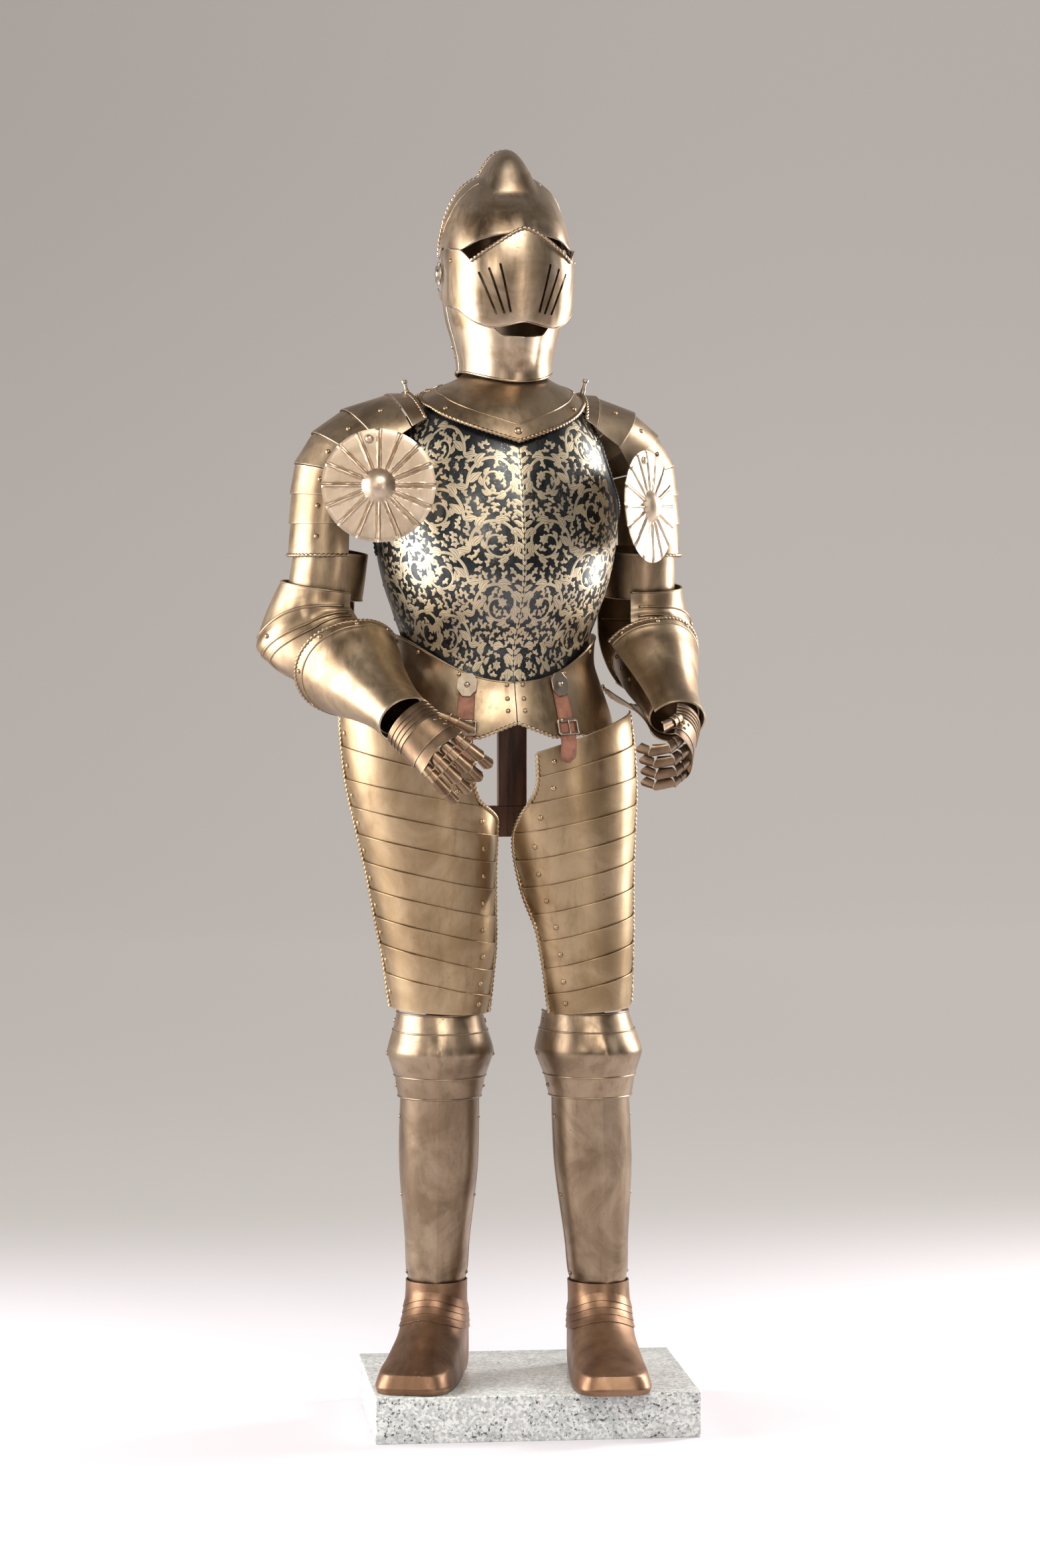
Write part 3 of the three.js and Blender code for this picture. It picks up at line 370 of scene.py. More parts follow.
def around_pivot(radii, reach, form):
    """A shell round the pivots' axis: `swing` runs from ear to ear, `turn` from front to back."""
    def point(swing, turn):
        x = reach * signed_power(sin(radians(swing)), ROUNDNESS)
        radius = form(x, swing, turn, read(radii, "turn", "radius", turn)
                      * abs(cos(radians(swing))) ** ROUNDNESS)
        return Vector((x, -radius * cos(radians(turn)), PIVOT["z"] + radius * sin(radians(turn))))
    return point


def neck_rim(angle):
    return 1484 + 16 * sin(radians(angle)) ** 2


def between_edges(shell, foot, top, widest):
    """surface(u, v) of a plate that runs from ear to ear between two edges given by their turn."""
    def surface(u, v):
        swing = mix(-widest, widest, u)
        low = read(foot, "swing", "turn", abs(swing), ease=False)
        high = read(top, "swing", "turn", abs(swing), ease=False)
        return IN_HEAD @ shell(swing, mix(low, high, v))
    return surface


def brow_plate():
    shell = around_pivot(SKULL_RADII, SKULL_REACH, lambda x, swing, turn, radius: with_comb(x, turn, radius))
    surface = between_edges(shell, BROW_FOOT, BROW_BACK, 80)
    inside = IN_HEAD @ Vector((0, 0, PIVOT["z"]))
    plate = sheet_metal("brow", surface, 72, 30, inside)
    rear = path_on(surface, [(u, 0.995) for u in spread(0.0, 1.0, 90)])
    # The raised line stays clear of the comb, which breaks it in two.
    line_at = 0.72
    left = path_on(surface, [(u, line_at) for u in spread(0.05, 0.36, 30)])
    right = path_on(surface, [(u, line_at) for u in spread(0.64, 0.95, 30)])
    foot = path_on(surface, [(u, 0.01) for u in spread(0.14, 0.86, 60)])
    return joined("brow_plate_dressed", [plate, rope(rear), bead(left, 1.1), bead(right, 1.1),
                                         bead(foot, 1.0)])


def skull_plate():
    under, comb_inset, top_lean = 3, 4, 84

    def crown(angle, lean):
        shrink = cos(radians(lean)) ** ROUNDNESS
        x = (SKULL_REACH - under) * shrink * sin(radians(angle))
        y = -(read(SKULL_RADII, "turn", "radius", 180) - under) * shrink * cos(radians(angle))
        z = (read(SKULL_RADII, "turn", "radius", 90) - under) * sin(radians(lean)) ** ROUNDNESS
        turn = degrees(atan2(z, -y))
        scale = with_comb(x, turn, hypot(y, z), comb_inset) / hypot(y, z)
        return Vector((x, y * scale, PIVOT["z"] + z * scale))

    def surface(u, v):
        angle = wrapped(mix(89, 271, u))
        neck_share = 0.4
        if v <= neck_share:
            z = mix(neck_rim(angle), PIVOT["z"], v / neck_share)
            return IN_HEAD @ ring_point(NECK_SECTIONS, angle, z)
        lean = max(0.01, (v - neck_share) / (1 - neck_share) * top_lean)
        return IN_HEAD @ crown(angle, lean)

    inside = IN_HEAD @ Vector((0, 20, PIVOT["z"]))
    plate = sheet_metal("skull", surface, 60, 44, inside)
    rim = path_on(surface, [(u, 0.004) for u in spread(0.01, 0.99, 60)])
    line = path_on(surface, [(u, 0.07) for u in spread(0.01, 0.99, 60)])
    studs = rivets_on(surface, [(u, 0.11) for u in spread(0.08, 0.92, 8)], inside, 3.4)
    return joined("skull_dressed", [plate, rope(rim, 2.2), bead(line, 1.0), *studs])


# The breaths: pairs of (x, z) for the upper and lower end of each slot, one side of the keel.
BREATHS = table("top_x top_z low_x low_z", (38, 1653, 22, 1585), (53, 1647, 31, 1583), (66, 1641, 42, 1582))


def breath_cutter(x, z, low_x, low_z):
    """A round-ended slot between two places, long enough to pass through the visor's front."""
    half_width, depth = 1.7, 90
    top, low = Vector((x, -112, z)), Vector((low_x, -112, low_z))
    alone()
    bpy.ops.mesh.primitive_cylinder_add(vertices=18, radius=half_width, depth=depth,
                                        rotation=(radians(90), 0, 0))
    cutter = added("breath")
    settle(cutter)
    # The drilled hole is drawn out: its upper half moves up by the slot's length.
    for vertex in cutter.data.vertices:
        if vertex.co.z > 0.01:
            vertex.co.z += (top - low).length
    lean = atan2(top.x - low.x, top.z - low.z)
    cutter.data.transform(IN_HEAD @ Matrix.Translation(low) @ Matrix.Rotation(lean, 4, "Y"))
    return cutter


def visor():
    def keel(x, swing, turn, radius):
        return radius + VISOR_KEEL["rise"] * clamp(1 - abs(swing) / VISOR_KEEL["spread"])

    shell = around_pivot(VISOR_RADII, PIVOT["reach"], keel)
    surface = between_edges(shell, VISOR_FOOT, VISOR_TOP, 84)
    inside = IN_HEAD @ Vector((0, 0, PIVOT["z"]))
    plate = sheet_metal("visor_sheet", surface, 84, 26, inside)
    for sign in (-1, 1):
        for row in zip(*(BREATHS[name] for name in ("top_x", "top_z", "low_x", "low_z"))):
            cutter = breath_cutter(sign * row[0], row[1], sign * row[2], row[3])
            apply(plate, "BOOLEAN", operation="DIFFERENCE", solver="EXACT", object=cutter)
            bpy.data.objects.remove(cutter)
    swing_v_end, widest = 45, 84
    v_end = 0.5 - swing_v_end / widest / 2
    # The rope and the lines stand off outwards, so the visor clears the brow as it lifts.
    front = path_on(surface, [(u, 0.995) for u in spread(v_end, 1 - v_end, 60)], away=1.5, inside=inside)
    parts = [plate, rope(front, 2.4)]
    for u_from, u_to in ((v_end, 0.1), (1 - v_end, 0.9)):
        parts.append(bead(path_on(surface, [(u, 0.99) for u in spread(u_from, u_to, 24)], away=0.8,
                                  inside=inside), 1.2))
    parts.append(bead(path_on(surface, [(u, 0.01) for u in spread(0.06, 0.94, 80)]), 1.2))
    studs = [(0.075, 0.78), (0.925, 0.78)]
    return joined("visor_dressed", parts + rivets_on(surface, studs, inside, 3.2))


def bevor():
    top = table("angle z", (0, 1548), (24, 1551), (40, 1580), (65, 1606), (87, 1624))
    ridge_rise, ridge_spread = 9, 20

    def surface(u, v):
        angle = mix(-87, 87, u)
        z = mix(neck_rim(angle), read(top, "angle", "z", abs(angle), ease=False), v)
        point = ring_point(NECK_SECTIONS, angle, z)
        point.y -= ridge_rise * clamp(1 - abs(angle) / ridge_spread) * smooth((z - 1496) / 24)
        return IN_HEAD @ point

    inside = IN_HEAD @ Vector((0, 0, 1550))
    plate = sheet_metal("bevor_sheet", surface, 72, 22, inside)
    rim = path_on(surface, [(u, 0.01) for u in spread(0.0, 1.0, 70)])
    lip = path_on(surface, [(u, 0.99) for u in spread(0.2, 0.8, 50)])
    return joined("bevor_dressed", [plate, bead(rim, 1.8), bead(lip, 1.0)])


def rosette(sign):
    """A six-lobed washer and the head of the pivot bolt."""
    lobes, rim, rise = 6, 15.5, 2.6

    def surface(u, v):
        angle = tau * u
        radius = mix(5.5, rim + rise * abs(cos(angle * lobes / 2)), v)
        height = 3.4 - 1.6 * v ** 2 + 0.7 * cos(angle * lobes) * v
        return Vector((radius * cos(angle), radius * sin(angle), height)) * MM

    disc = bent_grid("rosette", surface, 72, 5, round_across=True)
    face_away(disc, Vector((0, 0, -1)))
    apply(disc, "SOLIDIFY", thickness=1.6 * MM, offset=-1)
    alone()
    bpy.ops.mesh.primitive_uv_sphere_add(segments=20, ring_count=12, radius=7 * MM)
    head = added("bolt_head")
    in_edit(head, lambda: bpy.ops.mesh.bisect(plane_co=(0, 0, 0), plane_no=(0, 0, 1), clear_inner=True,
                                              use_fill=True))
    head.scale.z = 0.55
    head.location.z = 3 * MM
    settle(head)
    whole = joined("rosette_whole", [disc, head])
    bpy.ops.object.shade_smooth_by_angle(angle=radians(35))
    stand_off = PIVOT["reach"] + SHEET * 0.4
    place = IN_HEAD @ Matrix.Translation((sign * stand_off, 0, PIVOT["z"])) @ Matrix.Scale(1 / MM, 4)
    whole.data.transform(place @ Matrix.Rotation(radians(90 * sign), 4, "Y"))
    return whole


# ---------------------------------------------------------------- trunk

def trunk_point(angle, z, out=0.0):
    point = ring_point(TRUNK_SECTIONS, angle, z, out)
    if abs(angle) < 90:
        keel = read(TRUNK_SECTIONS, "z", "keel", z)
        point.y -= keel * clamp(1 - abs(sin(radians(angle))) / KEEL_SPREAD) ** 1.4
    return point


def waist_edge(angle):
    level = WAIST["back"] if abs(angle) > 90 else WAIST["front"]
    return mix(level, WAIST["side"], sin(radians(angle)) ** 2)


def cuirass(heading, under=0.0):
    """surface(u, v) of the breastplate (heading 0) or the backplate (180), which goes under it."""
    top = 1462

    def surface(u, v):
        span = read(BREAST_SPAN, "z", "span", mix(WAIST["front"], top, v)) + 0.6 * under
        angle = wrapped(heading + (2 * u - 1) * span)
        return IN_TRUNK @ trunk_point(angle, mix(waist_edge(angle), top, v), -under)
    return surface


def breastplate():
    surface = cuirass(0)
    inside = IN_TRUNK @ Vector((0, 0, 1250))
    plate = sheet_metal("breast_sheet", surface, 96, 80, inside)
    foot = path_on(surface, [(u, 0.004) for u in spread(0.0, 1.0, 80)])
    armhole_from = 0.36
    holes = [path_on(surface, [(u, v) for v in spread(armhole_from, 0.985, 50)]) for u in (0.004, 0.996)]
    return joined("breastplate_dressed", [plate, bead(foot, 1.6), *(rope(hole, 2.4) for hole in holes)])


def backplate():
    surface = cuirass(180, 2.9)
    inside = IN_TRUNK @ Vector((0, 0, 1250))
    plate = sheet_metal("back_sheet", surface, 72, 56, inside)
    parts = [plate]
    parts.append(bead(path_on(surface, [(u, 0.006) for u in spread(0.0, 1.0, 70)]), 1.6))
    for u in (0.07, 0.93):
        parts.append(bead(path_on(surface, [(u, v) for v in spread(0.40, 0.9, 40)]), 1.2))
    parts.append(bead(path_on(surface, [(0.5, v) for v in spread(0.04, 0.8, 40)]), 1.4))
    studs = [(u, v) for u in (0.035, 0.965) for v in (0.1, 0.24)]
    return joined("backplate_dressed", parts + rivets_on(surface, studs, inside))


def gorget_hem(angle):
    lean = abs(angle)
    if lean > 90:
        return mix(1470, 1425, (lean - 90) / 90)
    return mix(1394, 1446, lean / 52) if lean < 52 else mix(1446, 1470, (lean - 52) / 38)


def gorget(heading):
    def surface(u, v):
        angle = wrapped(heading + (2 * u - 1) * 89.4)
        z = mix(gorget_hem(angle), 1512, v)
        point = ring_point(GORGET_SECTIONS, angle, z)
        point.x += read(GORGET_SECTIONS, "z", "shift", z)
        return IN_TRUNK @ point

    inside = IN_TRUNK @ Vector((0, 0, 1440))
    side = "front" if heading == 0 else "back"
    plate = sheet_metal(f"gorget_{side}_sheet", surface, 84, 26, inside)
    hem = path_on(surface, [(u, 0.006) for u in spread(0.0, 1.0, 100)])
    line_rise = 22  # how far the raised line lies above the hem, along the plate

    def line_level(u):
        angle = wrapped(heading + (2 * u - 1) * 89.4)
        steepness = 0.62 + 0.5 * abs(cos(radians(angle))) ** 2
        return line_rise * steepness / (1512 - gorget_hem(angle))

    line = path_on(surface, [(u, line_level(u)) for u in spread(0.015, 0.985, 80)])
    studs = [(u, 0.45 * line_level(u)) for u in ((0.03, 0.27, 0.73, 0.97) if heading == 0
                                                 else (0.03, 0.5, 0.97))]
    parts = [plate, rope(hem), bead(line, 1.5), *rivets_on(surface, studs, inside, 4.4)]
    if heading == 0:
        parts += rivets_on(surface, [(0.5, 0.62 * line_level(0.5))], inside, 6.2)
    return joined(f"gorget_{side}_dressed", parts)


def fauld_point(angle, z, out=0.0):
    return ring_point(FAULD_SECTIONS, angle, z, out)


def fauld_hem(angle):
    lean = abs(angle)
    if lean > 90:
        return 975
    return mix(984, 962, lean / 18) if lean < 18 else mix(962, 975, (lean - 18) / 72)


def fauld(name, start, end, columns, studs):
    def surface(u, v):
        angle = wrapped(mix(start, end, u))
        return IN_TRUNK @ fauld_point(angle, mix(fauld_hem(angle), waist_edge(angle) + 14, v), 3)

    inside = IN_TRUNK @ Vector((0, 0, 1030))
    plate = sheet_metal(f"{name}_sheet", surface, columns, 20, inside)
    hem = path_on(surface, [(u, 0.01) for u in spread(0.0, 1.0, columns * 2)])
    top = path_on(surface, [(u, 0.985) for u in spread(0.0, 1.0, columns * 2)])
    return joined(f"{name}_dressed", [plate, rope(hem, 2.4), bead(top, 1.3),
                                      *rivets_on(surface, studs, inside, 3.8)])


STRAP = {"width": 24, "angle": 25, "top": 1052}
STRAP_RUN = table("at z out", (0, 1052, 7.0), (1, 1000, 7.0), (2, 962, 7.0), (3, 925, 5.0))


def strap(sign):
    """The leather strap from the fauld to the thigh; its roller buckle is made by strap_fittings."""
    middle = STRAP["angle"] * sign

    def surface(u, v):
        z = read(STRAP_RUN, "at", "z", 3 * v)
        out = read(STRAP_RUN, "at", "out", 3 * v)
        tip = 1 - 0.75 * smooth((v - 0.9) / 0.1) ** 2
        half_angle = degrees(STRAP["width"] / 2 / 160) * tip
        return IN_TRUNK @ fauld_point(middle + (2 * u - 1) * half_angle, z, out)

    inside = IN_TRUNK @ Vector((0, 0, 1000))
    leather = sheet_metal("strap_leather", surface, 8, 48, inside, wall=LEATHER, edge=0.6)
    return joined("strap_dressed", [leather])


def strap_frame(sign, z, out):
    """A place on the strap: +X across it, +Y up it and +Z away from the fauld."""
    angle = STRAP["angle"] * sign
    here = IN_TRUNK @ fauld_point(angle, z, out)
    above = IN_TRUNK @ fauld_point(angle, z + 10, out)
    across = (IN_TRUNK @ fauld_point(angle + 2, z, out)) - here
    up = (above - here).normalized()
    away = across.cross(up).normalized()
    basis = Matrix((up.cross(away), up, away)).transposed().to_4x4()
    return Matrix.Translation(here) @ basis


def strap_fittings(sign):
    """The eight-sided washer plate that holds the strap, its rivet, and the buckle with its roller."""
    plate_at = strap_frame(sign, STRAP["top"] - 12, 9.4)
    alone()
    bpy.ops.mesh.primitive_cylinder_add(vertices=8, radius=17 * MM, depth=1.8 * MM,
                                        rotation=(0, 0, radians(22.5)))
    washer = settle(added("washer"))
    apply(washer, "BEVEL", width=0.5 * MM, segments=2, limit_method="ANGLE", angle_limit=radians(30))
    washer.data.transform(Matrix.Diagonal((0.92, 1.12, 1, 1)))
    stud = rivet((0, 0, 0.8 * MM), (0, 0, 1), 4.6)
    top = joined("washer_plate", [washer, stud])
    top.data.transform(plate_at)
    buckle_at = strap_frame(sign, 978, 9.2)
    half_width, half_height = 17, 10
    corners = [(-half_width, -half_height), (half_width, -half_height), (half_width, half_height),
               (-half_width, half_height), (-half_width, -half_height)]
    bow = wire("buckle_bow", [Vector((x, y, 0)) * MM for x, y in corners], 1.9, 2.5, 8)
    bar = wire("buckle_roller", [Vector((x, half_height, 0)) * MM for x in (-13, 13)], 3.0, 4.0, 10)
    tongue_path = [Vector((0, y, 2.6 if abs(y) < 8 else 1.5)) * MM for y in (-11, -5, 5, 11)]
    tongue = wire("buckle_tongue", tongue_path, 1.3, 3.0, 6)
    buckle = joined("buckle", [bow, bar, tongue])
    buckle.data.transform(buckle_at)
    return joined("strap_plate_dressed", [top, buckle])


def turning_pin(sign):
    """The pin on the shoulder that a wing nut turns on: a flange, a barrel and a waisted head."""
    profile = ((0, 0), (9, 0), (9, 2.0), (4.2, 3.0), (3.6, 12), (2.6, 13), (2.6, 22), (4.4, 23), (4.4, 27),
               (0, 28))
    facets = 16

    def surface(u, v):
        step = v * (len(profile) - 1)
        i = min(int(step), len(profile) - 2)
        r = mix(profile[i][0], profile[i + 1][0], step - i)
        z = mix(profile[i][1], profile[i + 1][1], step - i)
        return Vector((r * cos(tau * u), r * sin(tau * u), z)) * MM

    pin = bent_grid("turning_pin", surface, facets, (len(profile) - 1) * 2, round_across=True)
    in_edit(pin, lambda: bpy.ops.mesh.normals_make_consistent(inside=False))
    alone(pin)
    bpy.ops.object.shade_smooth_by_angle(angle=radians(40))
    foot = {-1: Vector((-131, -2, 1462)), 1: Vector((134, 0, 1466))}[sign]
    lean = Matrix.Rotation(radians(sign * 14), 4, "Y")
    pin.data.transform(Matrix.Translation(IN_TRUNK @ foot) @ lean)
    return pin


# ---------------------------------------------------------------- shoulders

PAULDRON = table(
    "edge x z tilt high deep reach",
    (0, 132, 1470, 74, 84, 112, 60), (1, 162, 1467, 69, 84, 108, 69), (2, 228, 1444, 53, 76, 92, 84),
    (3, 272, 1410, 36, 68, 78, 96), (4, 298, 1365, 14, 62, 69, 104), (5, 304, 1320, 3, 61, 65, 106),
    (6, 306, 1276, 0, 61, 63, 106), (7, 307, 1228, 0, 60, 61, 106))
SHOULDER = {-1: {"back": 14, "inward": 0}, 1: {"back": 34, "inward": 15}}
BESAGEW = {"radius": 83, "boss": 23, "flutes": 16}
BESAGEW_AT = {-1: {"x": 203, "y": -139, "z": 1330, "turn": -12, "nod": 6},
              1: {"x": 212, "y": -104, "z": 1301, "turn": 50, "nod": 4}}


def pauldron_point(sign, around, edge, out=0.0):
    def value(column):
        return read(PAULDRON, "edge", column, edge, ease=False)

    reach = radians(around * value("reach"))
    tilt = radians(value("tilt"))
    inset = (value("high") + out) * (cos(reach) - 1) + out
    away = clamp(edge / 3)
    x = value("x") - SHOULDER[sign]["inward"] * away + inset * cos(tilt)
    y = mix(SHOULDER[-1]["back"], SHOULDER[sign]["back"], away) - (value("deep") + out) * sin(reach)
    return IN_TRUNK @ Vector((sign * x, y, value("z") + inset * sin(tilt)))


def shoulder_lames(name, sign, edges, studs=(), roped=()):
    """Lames that lap like roof tiles: the lower edge of each one stands proud of the next."""
    parts = []
    proud, lap = 2.4, 0.05
    for i, (start, end) in enumerate(zip(edges, edges[1:])):
        def surface(u, v, start=start, end=end, i=i):
            edge = mix(start - (lap if i else 0), end, v)
            return pauldron_point(sign, 2 * u - 1, edge, mix(-0.6 if i else 0, proud, v))

        middle = pauldron_point(sign, 0, (start + end) / 2)
        heart = (pauldron_point(sign, -0.9, (start + end) / 2)
                 + pauldron_point(sign, 0.9, (start + end) / 2)) / 2
        inside = heart.lerp(middle, -0.4)
        parts.append(sheet_metal(f"{name}_lame", surface, 40, 6, inside, wall=1.4))
        parts += rivets_on(surface, [(u, 0.42) for u in studs], inside, 3.9)
        if end in roped:
            parts.append(rope(path_on(surface, [(u, 0.97) for u in spread(0.0, 1.0, 60)]), 2.3))
        if start in roped:
            parts.append(rope(path_on(surface, [(u, 0.03) for u in spread(0.0, 1.0, 60)]), 2.8))
    return joined(f"{name}_dressed", parts)


def besagew_disc():
    """A disc with raised flutes that run out from a round boss."""
    radius, boss, flutes = (BESAGEW[key] for key in ("radius", "boss", "flutes"))
    rows = table("r h", (0, 17), (6, 16.4), (12, 14.4), (18, 10.4), (22, 5.6), (23.5, 3.4), (26, 2.6),
                 (50, 2.2), (78, 1.4),
                 (83, 0.0))
    columns_per_flute = 18

    def surface(u, v):
        r = 0.6 + (radius - 0.6) * v ** 0.85
        height = read(rows, "r", "h", r)
        angle = u * tau
        # Each flute is a straight welt of even width, with a groove struck along its lower side.
        from_line = ((u * flutes + 0.5) % 1 - 0.5) * tau / flutes * r
        if r > boss:
            fade = smooth((r - boss) / 5) * smooth((radius + 1 - r) / 4)
            welt = 2.6 * clamp(1 - (from_line - 0.8) ** 2 / 5.0)
            groove = 1.6 * clamp(1 - (from_line + 2.6) ** 2 / 2.6)
            height += fade * (welt - groove)
        return Vector((r * cos(angle), r * sin(angle), height)) * MM

    return sheet_metal("besagew_disc", surface, flutes * columns_per_flute, 34, Vector((0, 0, -0.2)),
                       round_across=True)


def besagew(sign):
    """The fluted disc over the armpit, with the screw that hangs it."""
    flutes, radius = BESAGEW["flutes"], BESAGEW["radius"]
    disc = besagew_disc()
    screw_angle = tau * (4.5 / flutes)
    screw_at = Vector((cos(screw_angle), sin(screw_angle), 0)) * (radius - 14)
    screw = rivet((screw_at + Vector((0, 0, 2))) * MM, (0, 0, 1), 6.2)
    alone()
    bpy.ops.mesh.primitive_torus_add(major_radius=6.0 * MM, minor_radius=1.1 * MM, major_segments=24,
                                     minor_segments=8, location=(screw_at + Vector((0, 0, 2.2))) * MM)
    collar = settle(added("screw_collar"))
    whole = joined("besagew_dressed", [disc, screw, collar])
    at = BESAGEW_AT[sign]
    place = IN_TRUNK @ Matrix.Translation((sign * at["x"], at["y"], at["z"])) @ Matrix.Scale(1 / MM, 4)
    turned = Matrix.Rotation(radians(at["turn"]), 4, "Z") @ Matrix.Rotation(radians(90 - at["nod"]), 4, "X")
    whole.data.transform(place @ turned)
    return whole


# ---------------------------------------------------------------- arms

ARMS = {
    -1: {"shoulder": Vector((-246, 14, 1228)), "elbow": Vector((-262, 24, 1108)),
         "wrist": Vector((-174, -200, 990)),
         "wing": 38, "fingers": Vector((0.55, -0.58, -0.6)), "back": Vector((-0.45, -0.72, 0.35)),
         "curls": (6, 10, 12)},
    1: {"shoulder": Vector((231, 34, 1228)), "elbow": Vector((233, 50, 1108)),
        "wrist": Vector((241, -160, 982)),
        "wing": 16, "fingers": Vector((-0.25, -0.75, -0.6)), "back": Vector((0.95, -0.3, 0.1)),
        "curls": (34, 44, 40)},
}


def limb_frame(start, end, outward):
    """A frame at `start` whose +Z looks at `end` and whose +X lies as near as it can to `outward`."""
    z = (end - start).normalized()
    y = z.cross(outward).normalized()
    x = y.cross(z)
    return IN_TRUNK @ Matrix.Translation(start) @ Matrix((x, y, z)).transposed().to_4x4()


def tube_surface(at, rows, span, slant=None):
    """surface(u, v) round a limb's own +Z: rows of height, half-width and half-depth."""
    last = len(rows["z"]) - 1
    numbered = dict(rows, at=list(range(last + 1)))

    def surface(u, v):
        angle = mix(-span, span, u)
        step = v * last
        a = read(numbered, "at", "a", step)
        b = read(numbered, "at", "b", step)
        z = read(numbered, "at", "z", step, ease=False) + (slant(angle, step) if slant else 0)
        return at @ Vector((a * cos(radians(angle)), b * sin(radians(angle)), z))
    return surface


def rerebrace(sign):
    place = ARMS[sign]
    at = limb_frame(place["elbow"], place["shoulder"], Vector((sign, 0, 0)))
    rows = table("z a b", (62, 56, 56), (90, 56, 57), (132, 55, 56))
    surface = tube_surface(at, rows, 180)
    inside = at @ Vector((0, 0, 97))
    tube = sheet_metal("rerebrace_tube", surface, 56, 10, inside, round_across=True)
    rim = bead(path_on(surface, [(u, 0.02) for u in spread(0.0, 1.0, 56)]), 1.3)
    return joined("rerebrace_dressed", [tube, rim])


def vambrace(sign):
    place = ARMS[sign]
    reach = (place["wrist"] - place["elbow"]).length
    at = limb_frame(place["elbow"], place["wrist"], Vector((sign, 0, 0)))
    rows = table("z a b", (58, 53, 52), (110, 52, 48), (160, 44, 40), (reach - 20, 38, 33))
    surface = tube_surface(at, rows, 180)
    inside = at @ Vector((0, 0, reach / 2))
    tube = sheet_metal("vambrace_tube", surface, 56, 24, inside, round_across=True)
    rims = [bead(path_on(surface, [(u, v) for u in spread(0.0, 1.0, 56)]), 1.3) for v in (0.01, 0.99)]
    studs = rivets_on(surface, [(0.97, v) for v in (0.1, 0.3, 0.5)], inside, 3.6)
    return joined("vambrace_dressed", [tube, *rims, *studs])


def couter(sign):
    """The elbow cop: bands with raised lines that gather at a point on the outer side."""
    place = ARMS[sign]
    elbow = place["elbow"]
    up = elbow + (place["shoulder"] - elbow).normalized() * 76
    down = elbow + (place["wrist"] - elbow).normalized() * 66
    outward = Vector((sign, 0.25, 0)).normalized()
    radii = table("t r", (0, 67), (0.25, 68), (0.5, 70), (0.75, 66), (1, 60))
    span = 128

    def surface(u, v):
        angle = mix(-span, span, u)
        along = (2 * (1 - v) * (elbow - up) + 2 * v * (down - elbow)).normalized()
        out = (outward - along * outward.dot(along)).normalized()
        side = along.cross(out)
        wing = clamp(1 - abs(angle) / 62) * clamp(1 - abs(v - 0.55) / 0.55)
        r = read(radii, "t", "r", v) + place["wing"] * wing
        centre = (1 - v) ** 2 * up + 2 * v * (1 - v) * elbow + v ** 2 * down
        return IN_TRUNK @ (centre + out * r * cos(radians(angle)) + side * r * sin(radians(angle)))

    inside = IN_TRUNK @ elbow
    plate = sheet_metal("couter_sheet", surface, 72, 30, inside)
    parts = [plate]
    for v in (0.012, 0.988):
        parts.append(bead(path_on(surface, [(u, v) for u in spread(0.0, 1.0, 80)]), 1.5))
    # The raised lines fan out from the point and run round the arm.
    for v_rim, v_tip in ((0.3, 0.46), (0.68, 0.62), (0.84, 0.7)):
        fan = [(u, mix(v_tip, v_rim, smooth(abs(u - 0.5) / 0.28))) for u in spread(0.04, 0.96, 80)]
        parts.append(bead(path_on(surface, fan), 2.4))
    return joined("couter_dressed", parts + rivets_on(surface, [(0.42, 0.55), (0.62, 0.55)], inside, 4.0))


def cuff(sign):
    """The flared gauntlet cuff, longest at its outer corner, with a roped rim."""
    place = ARMS[sign]
    at = limb_frame(place["wrist"], place["wrist"] * 2 - place["elbow"], Vector((sign, 0, 0)))
    rows = table("z a b", (-4, 43, 36), (-45, 45, 40), (-95, 56, 52), (-150, 74, 72), (-168, 80, 78))

    def slant(angle, step):
        return -13 * clamp(step - 2, 0, 2) * max(0, cos(radians(angle)))

    surface = tube_surface(at, rows, 150, slant)
    inside = at @ Vector((0, 0, -86))
    plate = sheet_metal("cuff_sheet", surface, 64, 28, inside)
    rim = path_on(surface, [(u, 0.99) for u in spread(0.0, 1.0, 80)])
    line = path_on(surface, [(u, 0.86) for u in spread(0.0, 1.0, 80)])
    wrist = path_on(surface, [(u, 0.01) for u in spread(0.0, 1.0, 60)])
    studs = [(u, 0.925) for u in (0.06, 0.2, 0.34, 0.5, 0.66, 0.8, 0.94)]
    return joined("cuff_dressed", [plate, rope(rim, 2.5), bead(line, 1.7), bead(wrist, 1.3),
                                   *rivets_on(surface, studs, inside, 3.9)])


FINGER = {"width": 19, "wall": 1.2, "lift": 1.3}


def scale_plate(name, at, start, end, radius, direction_start, direction_end, columns=14):
    """One scale over a finger: a half-round whose far edge is scalloped and stands proud."""
    def surface(u, v):
        angle = radians(mix(-88, 88, u))
        scallop = 0.16 * (cos(2 * angle) - 0.2)
        t = v * (1 + scallop * smooth(v))
        here = start.lerp(end, t)
        normal = direction_start.lerp(direction_end, clamp(t)).normalized()
        r = radius + FINGER["lift"] * v
        return at @ (here + Vector((1, 0, 0)) * r * sin(angle) + normal * r * cos(angle))

    inside = at @ (start.lerp(end, 0.5) - direction_start * 30)
    return sheet_metal(name, surface, columns, 4, inside, wall=FINGER["wall"], edge=0.3)


